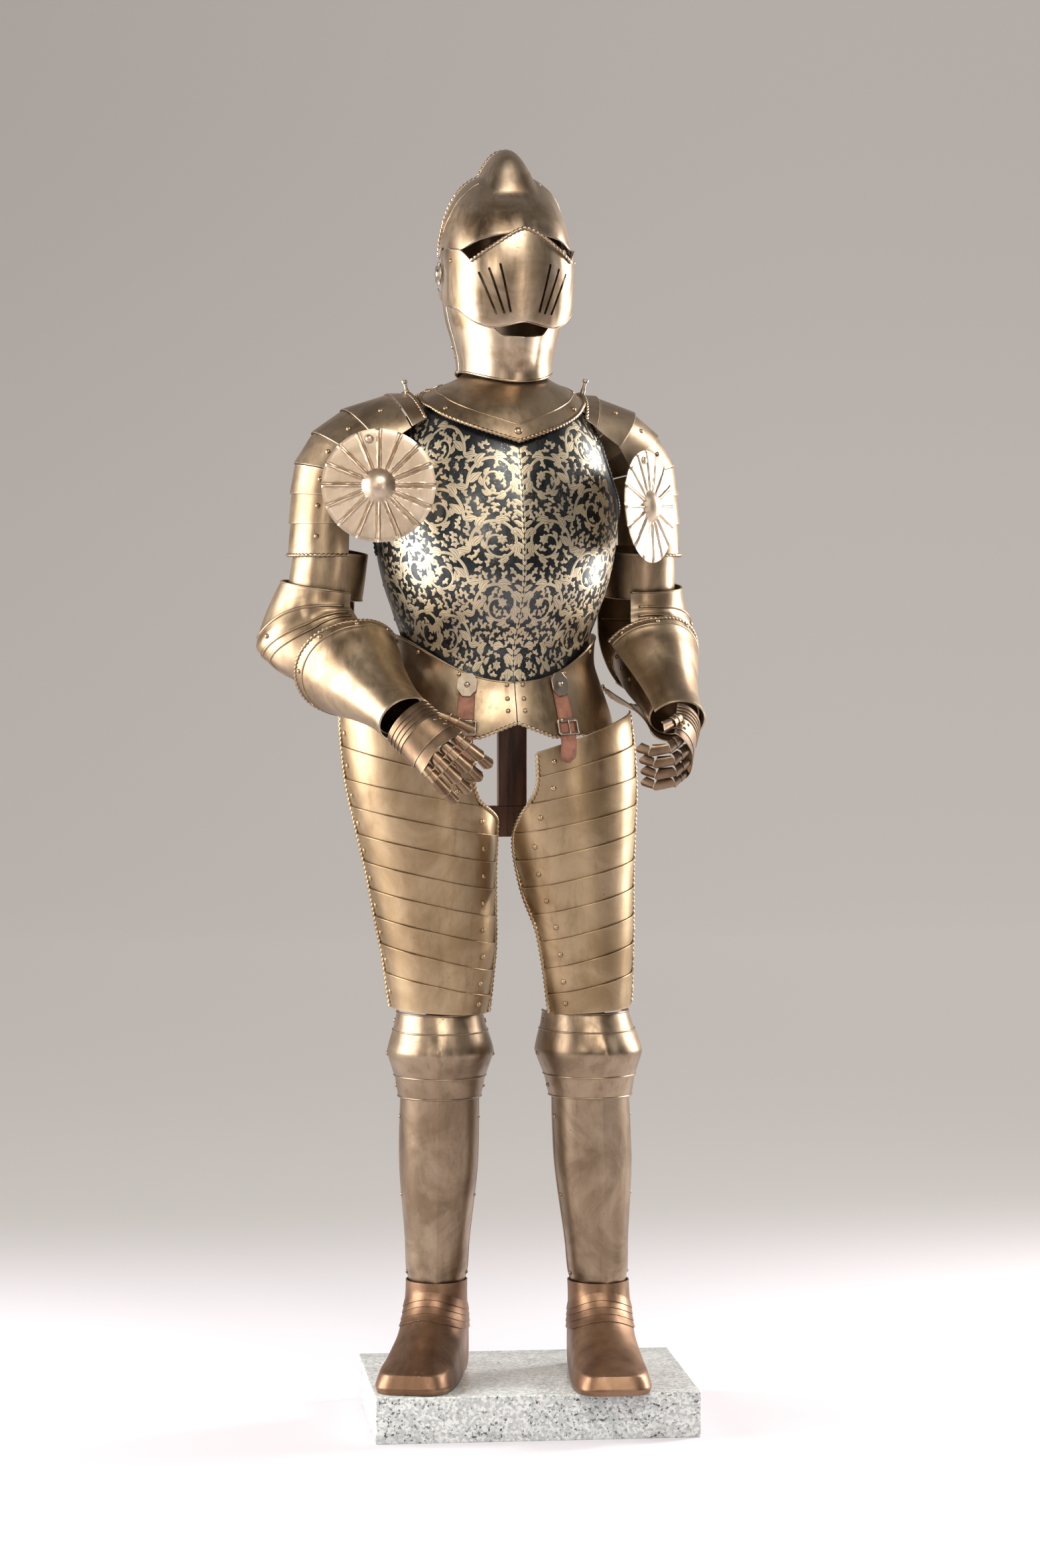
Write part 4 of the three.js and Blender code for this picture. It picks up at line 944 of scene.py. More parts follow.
def finger_scales(at, start, bend, fan, lengths, curls):
    parts = []
    here = start.copy()
    turn = Matrix.Rotation(radians(fan), 3, "Y")
    normal = Vector((0, cos(radians(bend)), sin(radians(bend))))
    radius = FINGER["width"] / 2
    for i, (length, curl) in enumerate(zip(lengths, curls)):
        bend += curl
        step = turn @ Vector((0, -sin(radians(bend)), cos(radians(bend))))
        next_normal = Vector((0, cos(radians(bend)), sin(radians(bend))))
        halves = 2 if i == 0 else 1
        for k in range(halves):
            a = here + step * length * k / halves
            b = here + step * length * (k + 1) / halves
            n0 = normal.lerp(next_normal, k / halves)
            n1 = normal.lerp(next_normal, (k + 1) / halves)
            parts.append(scale_plate("scale", at, a, b, radius, n0, n1))
        here = here + step * length
        normal = next_normal
        radius *= 0.93
    return parts


def hand(sign):
    """Wrist lames, the plate over the back of the hand, the knuckle plate and the fingers' scales."""
    place = ARMS[sign]
    across = place["back"].cross(place["fingers"])
    at = limb_frame(place["wrist"], place["wrist"] + place["fingers"], across)
    parts = []

    def back_surface(start, end, lift, scallops=0):
        def surface(u, v):
            angle = radians(mix(-84, 84, u))
            z = mix(start, end, v) + scallops * smooth(v) * abs(sin(2 * angle * 1.07))
            t = clamp((z - 4) / 80)
            high, wide = mix(33, 22, t), mix(40, 42, t)
            out = lift * v
            return at @ Vector(((wide + out) * sin(angle), (high + out) * cos(angle), z))
        return surface

    inside = at @ Vector((0, -20, 40))
    bands = ((2, 11, 1.6, 0), (10, 18, 1.6, 0), (17, 25, 1.6, 0), (24, 32, 1.6, 0), (31, 62, 1.6, 0),
             (60, 76, 3.0, 5))
    for start, end, lift, scallops in bands:
        surface = back_surface(start, end, lift, scallops)
        parts.append(sheet_metal("hand_lame", surface, 36, 4, inside, wall=1.2, edge=0.3))
    wide_band = back_surface(31, 62, 1.6)
    thumb_side = 0 if sign > 0 else 1
    studs = [(abs(thumb_side - u), v) for u, v in ((0.08, 0.25), (0.15, 0.4), (0.1, 0.62), (0.18, 0.75),
                                                   (0.24, 0.3))]
    parts += rivets_on(wide_band, studs, inside, 2.7)
    for finger in (-1.5, -0.5, 0.5, 1.5):
        x = finger * 20.5
        drop = 22 * sqrt(clamp(1 - (x / 43) ** 2))
        start = Vector((x, drop - FINGER["width"] / 2 + 1, 76))
        lengths = (28 - 2 * abs(finger), 24, 21 - 3 * abs(finger))
        parts += finger_scales(at, start, 6, finger * 3, lengths, place["curls"])
    parts += finger_scales(at, Vector((-sign * 38, 4, 34)), 10, -sign * 22, (26, 24), (8, 14))
    return joined("hand_dressed", parts)


# ---------------------------------------------------------------- legs

LEGS = {
    -1: {"hip": (-168, -22, 992), "thigh": (-133, -14, 640), "knee": (-130, -12, 500),
         "ankle": (-132, 45, 92),
         "face": -6, "toe": -16, "wide": 1.07, "top": 958, "slope": 38,
         "inner": table("level angle", (0, 84), (0.3, 88), (0.74, 88), (0.82, 50), (1, 46))},
    1: {"hip": (50, -18, 992), "thigh": (80, -14, 640), "knee": (92, -12, 500), "ankle": (113, 14, 92),
        "face": 10, "toe": -0.5, "wide": 1, "top": 961, "slope": 37,
        "inner": table("level angle", (0, 70), (0.33, 66), (0.5, 84), (0.62, 86), (0.71, 75), (0.84, 42),
                       (1, 36))},
}
THIGH_SECTIONS = table(
    "z a b",
    (545, 67, 74), (583, 71, 76), (664, 80, 80), (755, 88, 84), (820, 96, 87), (888, 104, 88), (960, 105, 86),
    (1010, 102, 82))
THIGH_LAMES = 10
KNEE_SECTIONS = table("z a b", (420, 62, 64), (455, 68, 76), (492, 72, 86), (525, 69, 78), (551, 64, 67))
SHIN_SECTIONS = table(
    "z a b calf",
    (122, 41, 42, 2), (139, 42, 43, 3), (152, 45.5, 46, 5), (200, 48, 48, 14), (310, 58, 56, 26),
    (380, 59, 58, 18),
    (428, 58, 59, 6))
SABATON = table(
    "z front back heel toe square",
    (1, 216, 60, 46, 65, 0.45), (9, 219, 62, 48, 66, 0.42), (29, 209, 63, 49, 59, 0.45),
    (37, 192, 63, 49, 58, 0.6),
    (47, 166, 62, 49, 56, 0.7), (59, 136, 60, 49, 52, 0.8), (73, 106, 58, 49, 50, 0.9),
    (89, 80, 55, 48, 48, 1),
    (106, 62, 52, 47, 47, 1), (122, 53, 50, 46.5, 46.5, 1), (138, 49, 49, 46.5, 46.5, 1))


def leg_axis(sign, z):
    place = LEGS[sign]
    bones = table("z x y", *((place[name][2], place[name][0], place[name][1])
                                 for name in ("ankle", "knee", "thigh", "hip")))
    return Vector((read(bones, "z", "x", z, ease=False), read(bones, "z", "y", z, ease=False), z))


def leg_point(sign, sections, angle, z, bulge=0.0, out=0.0, wide=1.0):
    a = read(sections, "z", "a", z) * wide + out
    b = read(sections, "z", "b", z) + bulge + out
    local = Vector((a * sin(radians(angle)), -b * cos(radians(angle)), 0))
    return IN_ROW @ (Matrix.Rotation(radians(LEGS[sign]["face"]), 4, "Z") @ local + leg_axis(sign, z))


def thigh(sign):
    """Ten lames, each lapping over the one above, with roped side borders and a rivet near each end."""
    place = LEGS[sign]
    drop = table("level fall", (0, 4), (0.12, 20), (0.8, 22), (1, place["slope"]))
    parts = []

    def border(side, level, out=0.0):
        reach = read(place["inner"], "level", "angle", level) if side < 0 else 84
        z = mix(552, place["top"], level) + sin(radians(side * reach)) * read(drop, "level", "fall", level,
                                                                              ease=False)
        return leg_point(sign, THIGH_SECTIONS, sign * side * reach, z, out=out, wide=place["wide"])

    lap, proud = 0.012, 2.6
    for i in range(THIGH_LAMES):
        def surface(u, v, i=i):
            level = mix(max(i / THIGH_LAMES - (lap if i else 0), 0), (i + 1) / THIGH_LAMES, v)
            return border(mix(-1, 1, u), level, out=mix(-0.4, proud, v))

        inside = IN_ROW @ leg_axis(sign, mix(552, 958, (i + 0.5) / THIGH_LAMES))
        parts.append(sheet_metal("thigh_lame", surface, 48, 8, inside, wall=1.4))
        parts += rivets_on(surface, [(0.2, 0.5), (0.915, 0.5)], inside, 4.2)
        # A fine rolled lip brightens the upper edge of every lame.
        parts.append(bead(path_on(surface, [(u, 0.985) for u in spread(0.0, 1.0, 48)]), 0.9))
    for side in (-0.985, 0.985):
        edge = [border(side, level, out=1.6) for level in spread(0.003, 0.992, 90)]
        parts.append(rope(edge, 2.9))
    return joined("thigh_dressed", parts)


def poleyn(sign):
    """The knee cop, with a crease down its middle; raised lines on the one sheet stand for a lame above and
    below.
    """
    def surface(u, v):
        angle = mix(-104, 104, u)
        z = mix(420, 551, v)
        crease = 5 * clamp(1 - abs(angle) / 14) * smooth(1 - abs(z - 490) / 52)
        wing = 8 * clamp(1 - abs(z - 490) / 40)
        return leg_point(sign, KNEE_SECTIONS, angle, z, bulge=crease, out=wing)

    inside = IN_ROW @ leg_axis(sign, 490)
    plate = sheet_metal("poleyn_sheet", surface, 64, 28, inside)
    parts = [plate]
    parts += [bead(path_on(surface, [(u, v) for u in spread(0.0, 1.0, 70)]), 1.5)
              for v in (0.015, 0.26, 0.78, 0.985)]
    studs = [(u, v) for u in (0.06, 0.94) for v in (0.13, 0.5, 0.88)]
    return joined("poleyn_dressed", parts + rivets_on(surface, studs, inside, 3.8))


def greave(sign):
    def surface(u, v):
        angle = wrapped(360 * u)
        z = mix(112, 428, v)
        back = max(0, -cos(radians(angle)))
        crease = 4 * clamp(1 - abs(angle) / 16)
        return leg_point(sign, SHIN_SECTIONS, angle, z, back * read(SHIN_SECTIONS, "z", "calf", z) + crease)

    inside = IN_ROW @ leg_axis(sign, 260)
    tube = sheet_metal("greave_tube", surface, 64, 30, inside, round_across=True)
    parts = [tube]
    parts += [bead(path_on(surface, [(u, v) for u in spread(0.0, 1.0, 70)]), 1.5) for v in (0.008, 0.992)]
    parts += [bead(path_on(surface, [(u, v) for v in spread(0.02, 0.98, 40)]), 1.1) for u in (0.26, 0.74)]
    studs = [(u, v) for u in (0.235, 0.765) for v in (0.12, 0.5, 0.88)]
    return joined("greave_dressed", parts + rivets_on(surface, studs, inside, 3.4))


def sabaton(sign):
    """A smooth boot with a square toe; four narrow lames lap over each other at the ankle."""
    place = LEGS[sign]
    turn = Matrix.Rotation(radians(place["toe"]), 4, "Z")

    def ring(angle, z, out=0.0):
        front, back, heel, toe, square = (
            read(SABATON, "z", column, z, ease=column in ("heel", "square") or z > 40)
            for column in ("front", "back", "heel", "toe", "square"))
        sine, cosine = sin(radians(angle)), cos(radians(angle))
        power = square if cosine > 0 else 1
        ahead = ((front if cosine > 0 else -back) + (out if cosine > 0 else -out)) * abs(cosine) ** power
        half = mix(heel, toe, clamp(ahead / front)) + out
        middle = leg_axis(sign, max(z, place["ankle"][2]))
        return IN_ROW @ (turn @ Vector((half * signed_power(sine, power), -ahead, z))
                         + Vector((middle.x, middle.y, 0)))

    heights = table("t z", (0, 1), (0.06, 9), (0.22, 29), (0.3, 37), (1, 138))

    def surface(u, v):
        return ring(wrapped(360 * u), read(heights, "t", "z", v, ease=False))

    inside = IN_ROW @ Vector((place["ankle"][0], place["ankle"][1], 50))
    parts = [sheet_metal("sabaton_shoe", surface, 128, 60, inside, wall=2, round_across=True, edge=0)]
    # The ankle lames: each is a collar that sinks towards the heel and stands a little proud of the next.
    for k in range(4):
        low = 88 + 9 * k

        def collar(u, v, low=low):
            angle = mix(-112, 112, u)
            sink = 26 * smooth(abs(angle) / 112)
            return ring(angle, mix(low, low + 11.5, v) - sink, out=mix(2.0, 0.5, v))
        parts.append(sheet_metal("ankle_lame", collar, 60, 3, inside, wall=1.2, edge=0.3))
    return joined("sabaton_dressed", parts)


# ---------------------------------------------------------------- stand and plinth

def planed(node, edge):
    """A squared beam or block with its edges eased, of the size and in the place of its node."""
    low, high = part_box(node)
    alone()
    bpy.ops.mesh.primitive_cube_add(size=1, location=(Vector(low) + Vector(high)) / 2)
    block = added(f"{node}_dressed")
    block.scale = Vector(high) - Vector(low)
    settle(block)
    in_edit(block, lambda: bpy.ops.mesh.subdivide(number_cuts=3))
    apply(block, "BEVEL", width=edge * MM, segments=3, limit_method="ANGLE", angle_limit=radians(40))
    alone(block)
    bpy.ops.object.shade_smooth_by_angle(angle=radians(32))
    return block


# ---------------------------------------------------------------- finishes

def socketed(name, inputs, outputs):
    """An empty node group with named inputs (name, default) and outputs."""
    group = bpy.data.node_groups.new(name, "ShaderNodeTree")
    for label, default in inputs:
        socket = group.interface.new_socket(name=label, in_out="INPUT", socket_type="NodeSocketFloat")
        socket.default_value = default
    for label in outputs:
        group.interface.new_socket(name=label, in_out="OUTPUT", socket_type="NodeSocketFloat")
    return group, group.nodes.new("NodeGroupInput"), group.nodes.new("NodeGroupOutput")


def node(tree, kind, links=(), **settings):
    """A node with its settings, and its inputs linked or set by name or number."""
    made = tree.nodes.new(kind)
    for key, value in settings.items():
        setattr(made, key, value)
    for socket, value in dict(links).items():
        if isinstance(value, bpy.types.NodeSocket):
            tree.links.new(value, made.inputs[socket])
        else:
            made.inputs[socket].default_value = value
    return made


def maths(tree, operation, a, b=0.0, clamped=False):
    return node(tree, "ShaderNodeMath", {0: a, 1: b}, operation=operation, use_clamp=clamped).outputs[0]


def remap(tree, value, low, high, to_low=0.0, to_high=1.0):
    made = node(tree, "ShaderNodeMapRange", {0: value, 1: low, 2: high, 3: to_low, 4: to_high},
                interpolation_type="SMOOTHSTEP")
    return made.outputs[0]


def blended(tree, factor, a, b):
    """A colour between two colours, each a socket or an (r, g, b) value."""
    full = [value if isinstance(value, bpy.types.NodeSocket) else (*value, 1.0) for value in (a, b)]
    made = node(tree, "ShaderNodeMix", {0: factor, 6: full[0], 7: full[1]}, data_type="RGBA")
    return made.outputs[2]


def tarnish_group():
    """Clouds of tarnish, small pits and a faint unevenness left by the planishing hammer."""
    group, given, result = socketed("tarnish", (("Size", 1.0),), ("Cloud", "Streak", "Pits", "Height"))
    place = node(group, "ShaderNodeTexCoord").outputs["Object"]
    place = node(group, "ShaderNodeVectorMath", {0: place, "Scale": given.outputs["Size"]},
                 operation="SCALE").outputs[0]
    cloud = node(group, "ShaderNodeTexNoise",
                 {"Vector": place, "Scale": 9.0, "Detail": 7.0, "Roughness": 0.62,
                                              "Distortion": 0.8}).outputs[0]
    stretched = node(group, "ShaderNodeMapping", {"Vector": place, "Scale": (1.0, 1.0, 0.16)}).outputs[0]
    streak = node(group, "ShaderNodeTexNoise", {"Vector": stretched, "Scale": 70.0, "Detail": 5.0,
                                                "Roughness": 0.7}).outputs[0]
    specks = node(group, "ShaderNodeTexNoise", {"Vector": place, "Scale": 210.0, "Detail": 4.0,
                                               "Roughness": 0.7}).outputs[0]
    patches = node(group, "ShaderNodeTexNoise", {"Vector": place, "Scale": 26.0, "Detail": 3.0}).outputs[0]
    pits = maths(group, "MULTIPLY", remap(group, specks, 0.64, 0.72), remap(group, patches, 0.52, 0.66))
    dents = node(group, "ShaderNodeTexNoise", {"Vector": place, "Scale": 24.0, "Detail": 2.0}).outputs[0]
    grain = node(group, "ShaderNodeTexNoise", {"Vector": place, "Scale": 900.0, "Detail": 2.0}).outputs[0]
    height = maths(group, "SUBTRACT", maths(group, "MULTIPLY", dents, 1.0),
                   maths(group, "MULTIPLY", pits, 0.35))
    height = maths(group, "ADD", height, maths(group, "MULTIPLY", grain, 0.03))
    for name, socket in (("Cloud", cloud), ("Streak", streak), ("Pits", pits), ("Height", height)):
        group.links.new(socket, result.inputs[name])
    return group


def edge_nearness_group():
    """How near a place is to the edge of its plate, by the plate's own UV map."""
    group, given, result = socketed("edge_nearness", (("Width", 0.06),), ("Mask",))
    uv = node(group, "ShaderNodeSeparateXYZ", {0: node(group, "ShaderNodeTexCoord").outputs["UV"]})
    distances = []
    for axis in ("X", "Y"):
        value = uv.outputs[axis]
        distances.append(maths(group, "MINIMUM", value, maths(group, "SUBTRACT", 1.0, value)))
    nearest = maths(group, "MINIMUM", *distances)
    mask = maths(group, "SUBTRACT", 1.0, maths(group, "DIVIDE", nearest, given.outputs["Width"]),
                 clamped=True)
    group.links.new(mask, result.inputs["Mask"])
    return group


TARNISH = tarnish_group()
EDGE_NEARNESS = edge_nearness_group()


def material(name):
    made = bpy.data.materials.new(name)
    made.use_nodes = True
    tree = made.node_tree
    return made, tree, tree.nodes["Principled BSDF"]


def metal(name, bright, tarnished, spots, roughness, size=1.0, rubbed_and_highlit=None, dents=0.5,
          cloud_range=(0.38, 0.66)):
    """Sheet metal: tarnished in clouds, with rust in small pits, and lighter at its edges, partly as bare
    metal worn by rubbing and partly as a painted highlight.
    """
    made, tree, shader = material(name)
    old = node(tree, "ShaderNodeGroup", {}, node_tree=TARNISH)
    old.inputs["Size"].default_value = size
    colour = blended(tree, remap(tree, old.outputs["Cloud"], *cloud_range), bright, tarnished)
    darker = tuple(0.72 * c for c in tarnished)
    colour = blended(tree, remap(tree, old.outputs["Streak"], 0.50, 0.74, 0.0, 0.45), colour, darker)
    # Plate edges, and both edges of every lame, turn lighter: partly bare metal worn by rubbing, partly a
    # painted highlight.
    if rubbed_and_highlit:
        edge = node(tree, "ShaderNodeGroup", {"Width": 0.05}, node_tree=EDGE_NEARNESS)
        colour = blended(tree, maths(tree, "MULTIPLY", edge.outputs["Mask"], 0.55), colour, rubbed_and_highlit)
    colour = blended(tree, old.outputs["Pits"], colour, spots)
    tree.links.new(colour, shader.inputs["Base Color"])
    rough = remap(tree, old.outputs["Streak"], 0.3, 0.75, roughness - 0.05, roughness + 0.1)
    rough = maths(tree, "ADD", rough, maths(tree, "MULTIPLY", old.outputs["Pits"], 0.3))
    tree.links.new(rough, shader.inputs["Roughness"])
    shader.inputs["Metallic"].default_value = 1.0
    bump = node(tree, "ShaderNodeBump", {"Height": old.outputs["Height"], "Strength": dents,
                                         "Distance": 0.0012})
    tree.links.new(bump.outputs[0], shader.inputs["Normal"])
    return made


def etched_ground():
    """The blackened ground of the breastplate, worn to grey by the rubbing of hands and cloths."""
    made, tree, shader = material("blackened_ground")
    old = node(tree, "ShaderNodeGroup", {"Size": 1.4}, node_tree=TARNISH)
    colour = blended(tree, remap(tree, old.outputs["Cloud"], 0.4, 0.7), (0.028, 0.032, 0.036),
                     (0.075, 0.08, 0.085))
    # Fine punched dots fill the ground between the scrolls.
    place = node(tree, "ShaderNodeTexCoord").outputs["Object"]
    dots = node(tree, "ShaderNodeTexVoronoi", {"Vector": place, "Scale": 330.0}).outputs["Distance"]
    patches = node(tree, "ShaderNodeTexNoise", {"Vector": place, "Scale": 38.0, "Detail": 3.0}).outputs[0]
    dot = maths(tree, "MULTIPLY", remap(tree, dots, 0.34, 0.2), remap(tree, patches, 0.5, 0.62))
    colour = blended(tree, maths(tree, "MULTIPLY", dot, 0.5), colour, (0.42, 0.36, 0.25))
    tree.links.new(colour, shader.inputs["Base Color"])
    rough = remap(tree, old.outputs["Streak"], 0.3, 0.75, 0.26, 0.42)
    tree.links.new(rough, shader.inputs["Roughness"])
    shader.inputs["Metallic"].default_value = 0.85
    bump = node(tree, "ShaderNodeBump", {"Height": old.outputs["Height"], "Strength": 0.35,
                                         "Distance": 0.001})
    tree.links.new(bump.outputs[0], shader.inputs["Normal"])
    return made


def gilt_scrolls():
    """The bright leafwork, with a graver's line down the middle of every leaf and stem."""
    made, tree, shader = material("gilt_leafwork")
    old = node(tree, "ShaderNodeGroup", {"Size": 1.6}, node_tree=TARNISH)
    across = node(tree, "ShaderNodeSeparateXYZ", {0: node(tree, "ShaderNodeTexCoord").outputs["UV"]})
    from_middle = maths(tree, "ABSOLUTE", maths(tree, "SUBTRACT", across.outputs["X"], 0.5))
    middle_line = remap(tree, from_middle, 0.07, 0.03)
    side_line = maths(tree, "MULTIPLY", remap(tree, from_middle, 0.26, 0.29),
                      remap(tree, from_middle, 0.36, 0.33))
    lines = maths(tree, "MULTIPLY", maths(tree, "MAXIMUM", middle_line, side_line), 0.75)
    colour = blended(tree, remap(tree, old.outputs["Cloud"], 0.36, 0.68), (0.74, 0.62, 0.42),
                     (0.50, 0.42, 0.30))
    colour = blended(tree, lines, colour, (0.06, 0.055, 0.05))
    colour = blended(tree, old.outputs["Pits"], colour, (0.08, 0.07, 0.06))
    tree.links.new(colour, shader.inputs["Base Color"])
    tree.links.new(remap(tree, old.outputs["Streak"], 0.3, 0.7, 0.36, 0.5), shader.inputs["Roughness"])
    shader.inputs["Metallic"].default_value = 0.8
    return made


def harness_leather(name, light, dark):
    made, tree, shader = material(name)
    place = node(tree, "ShaderNodeTexCoord").outputs["Object"]
    folds = node(tree, "ShaderNodeTexNoise", {"Vector": place, "Scale": 45.0, "Detail": 6.0,
                                              "Roughness": 0.6}).outputs[0]
    grain = node(tree, "ShaderNodeTexVoronoi", {"Vector": place, "Scale": 620.0}).outputs["Distance"]
    colour = blended(tree, remap(tree, folds, 0.35, 0.65), light, dark)
    edge = node(tree, "ShaderNodeGroup", {"Width": 0.12}, node_tree=EDGE_NEARNESS)
    colour = blended(tree, maths(tree, "MULTIPLY", edge.outputs["Mask"], 0.6), colour,
                     tuple(c * 0.45 for c in dark))
    tree.links.new(colour, shader.inputs["Base Color"])
    tree.links.new(remap(tree, folds, 0.3, 0.7, 0.5, 0.72), shader.inputs["Roughness"])
    height = maths(tree, "ADD", maths(tree, "MULTIPLY", grain, 0.4), folds)
    bump = node(tree, "ShaderNodeBump", {"Height": height, "Strength": 0.5, "Distance": 0.0006})
    tree.links.new(bump.outputs[0], shader.inputs["Normal"])
    return made


def stained_timber():
    made, tree, shader = material("dark_stained_pine")
    place = node(tree, "ShaderNodeTexCoord").outputs["Object"]
    along = node(tree, "ShaderNodeMapping", {"Vector": place, "Scale": (1.0, 1.0, 0.07)}).outputs[0]
    rings = node(tree, "ShaderNodeTexNoise", {"Vector": along, "Scale": 95.0, "Detail": 5.0,
                                              "Distortion": 0.5}).outputs[0]
    pores = node(tree, "ShaderNodeTexNoise", {"Vector": along, "Scale": 700.0, "Detail": 2.0}).outputs[0]
    colour = blended(tree, remap(tree, rings, 0.35, 0.65), (0.130, 0.052, 0.024), (0.050, 0.020, 0.010))
    colour = blended(tree, remap(tree, pores, 0.55, 0.7, 0.0, 0.6), colour, (0.014, 0.007, 0.005))
    tree.links.new(colour, shader.inputs["Base Color"])
    tree.links.new(remap(tree, rings, 0.3, 0.7, 0.42, 0.58), shader.inputs["Roughness"])
    height = maths(tree, "ADD", rings, maths(tree, "MULTIPLY", pores, 0.5))
    bump = node(tree, "ShaderNodeBump", {"Height": height, "Strength": 0.4, "Distance": 0.0006})
    tree.links.new(bump.outputs[0], shader.inputs["Normal"])
    return made


def polished_granite():
    """White and grey crystals with black mica, under a polish."""
    made, tree, shader = material("polished_granite")
    place = node(tree, "ShaderNodeTexCoord").outputs["Object"]
    drift = node(tree, "ShaderNodeTexNoise", {"Vector": place, "Scale": 14.0, "Detail": 5.0,
                                              "Roughness": 0.65,
                                             "Distortion": 1.2}).outputs[0]
    crystals = node(tree, "ShaderNodeTexVoronoi", {"Vector": place, "Scale": 260.0}).outputs["Color"]
    crystal = node(tree, "ShaderNodeSeparateXYZ", {0: crystals}).outputs["X"]
    mica = node(tree, "ShaderNodeTexNoise", {"Vector": place, "Scale": 190.0, "Detail": 5.0,
                                             "Roughness": 0.72}).outputs[0]
    colour = blended(tree, remap(tree, crystal, 0.2, 0.8), (0.80, 0.82, 0.80), (0.52, 0.55, 0.55))
    colour = blended(tree, remap(tree, drift, 0.5, 0.7, 0.0, 0.5), colour, (0.36, 0.39, 0.38))
    clusters = maths(tree, "MULTIPLY", remap(tree, mica, 0.555, 0.60),
                     remap(tree, drift, 0.40, 0.56, 0.25, 1.0))
    colour = blended(tree, clusters, colour, (0.035, 0.040, 0.042))
    tree.links.new(colour, shader.inputs["Base Color"])
    tree.links.new(remap(tree, mica, 0.5, 0.62, 0.16, 0.3), shader.inputs["Roughness"])
    shader.inputs["Coat Weight"].default_value = 0.4
    shader.inputs["Coat Roughness"].default_value = 0.08
    return made


BRIGHT_STEEL = metal("helmet_steel", (0.47, 0.365, 0.265), (0.27, 0.185, 0.110), (0.06, 0.035, 0.022), 0.33,
                     cloud_range=(0.42, 0.66), rubbed_and_highlit=(0.66, 0.58, 0.49))
BRONZED_STEEL = metal("bronzed_steel", (0.43, 0.325, 0.215), (0.25, 0.172, 0.105), (0.05, 0.028, 0.018), 0.36,
                      rubbed_and_highlit=(0.58, 0.48, 0.36))
DISC_STEEL = metal("besagew_steel", (0.60, 0.49, 0.38), (0.43, 0.33, 0.24), (0.07, 0.04, 0.028), 0.42,
                   dents=0.35)
LACQUERED_STEEL = metal("lacquered_thigh_steel", (0.44, 0.325, 0.200), (0.29, 0.198, 0.108),
                        (0.07, 0.04, 0.02), 0.37,
                        rubbed_and_highlit=(0.64, 0.53, 0.38), size=0.9)
BROWNED_STEEL = metal("browned_shoe_steel", (0.300, 0.185, 0.115), (0.190, 0.108, 0.066), (0.50, 0.38, 0.27),
                      0.42)
SHIN_STEEL = metal("shin_steel", (0.35, 0.265, 0.185), (0.21, 0.148, 0.096), (0.06, 0.032, 0.02), 0.36)
HAND_STEEL = metal("gauntlet_steel", (0.25, 0.170, 0.108), (0.14, 0.087, 0.053), (0.04, 0.02, 0.012), 0.35,
                   rubbed_and_highlit=(0.52, 0.41, 0.30))
FITTINGS = metal("buckle_steel", (0.46, 0.39, 0.31), (0.30, 0.24, 0.18), (0.07, 0.04, 0.025), 0.32)
STRAP_LEATHER = harness_leather("worn_strap_leather", (0.36, 0.155, 0.095), (0.20, 0.080, 0.050))
TIMBER = stained_timber()
GRANITE = polished_granite()
GROUND = etched_ground()
GILT = gilt_scrolls()


# ---------------------------------------------------------------- the breastplate's leafwork

GIRTH = 180  # the trunk's mean radius, which turns a distance round the breastplate into an angle
STEMS = table("x wave low high reach", (80, 8, 1066, 1436, 39), (208, 7, 1120, 1330, 37))
RISE = 46  # from one spiral to the next, which grows on the stem's other side


def on_breast(x, z, margin=5):
    """Whether a place of the flat drawing falls on the breastplate's open ground."""
    angle = degrees(abs(x) / GIRTH)
    if z < waist_edge(angle) + 2 * margin or z > 1458 or angle > 89:
        return False
    hem = gorget_hem(angle) - 2 * margin
    return z < hem and angle < read(BREAST_SPAN, "z", "span", z) - degrees(margin / GIRTH) - 2


def leaf(x, z, heading, length, width, bend=0.0, lobes=3, stations=10):
    """A leaf as rows of (x, z, across x, across z, half-width); its edge is scalloped into lobes."""
    rows = []
    for i in range(stations + 1):
        t = i / stations
        turn = radians(heading + bend * t)
        if i:
            x += cos(turn) * length / stations
            z += sin(turn) * length / stations
        lobed = 0.72 + 0.28 * abs(sin(lobes * pi * t)) if lobes else 1
        half = 0 if i in (0, stations) else width * sin(pi * t ** 0.75) * lobed
        rows.append((x, z, -sin(turn), cos(turn), half))
    return rows


def ribbon(points, widest, thinnest):
    """A stem along a line of (x, z) points that gets thinner towards its end."""
    rows = []
    for i, (x, z) in enumerate(points):
        a, b = points[max(i - 1, 0)], points[min(i + 1, len(points) - 1)]
        run = hypot(b[0] - a[0], b[1] - a[1]) or 1
        end = i in (0, len(points) - 1)
        half = 0 if end else mix(widest, thinnest, i / len(points))
        rows.append((x, z, -(b[1] - a[1]) / run, (b[0] - a[0]) / run, half))
    return rows


def spiral(stem_x, stem_z, centre_x, centre_z, hand):
    """A tendril that leaves the stem and winds up on itself, with leaves outside it and a flower within."""
    reach = hypot(stem_x - centre_x, stem_z - centre_z)
    start = atan2(stem_z - centre_z, stem_x - centre_x)
    turns, steps = 1.45, 64
    line = []
    for i in range(steps + 1):
        t = i / steps
        angle = start + hand * tau * turns * t
        r = reach * (1 - 0.80 * t ** 0.8)
        line.append((centre_x + r * cos(angle), centre_z + r * sin(angle)))
    shapes = [ribbon(line, 2.3, 1.3)]
    for i in range(7, 50, 6):
        (x, z), (nx, nz) = line[i], line[i + 1]
        ahead = degrees(atan2(nz - z, nx - x))
        size = mix(1.0, 0.5, i / steps)
        shapes.append(leaf(x, z, ahead - hand * 50, 24 * size, 6.6 * size, hand * 80))
        if i < 34:
            shapes.append(leaf(x, z, ahead + hand * 34, 13 * size, 3.5 * size, -hand * 64, lobes=0,
                               stations=6))
    for k in range(6):
        shapes.append(leaf(*line[-1], 60 * k + 15, 8.2, 2.7, 20, lobes=0, stations=6))
    return shapes


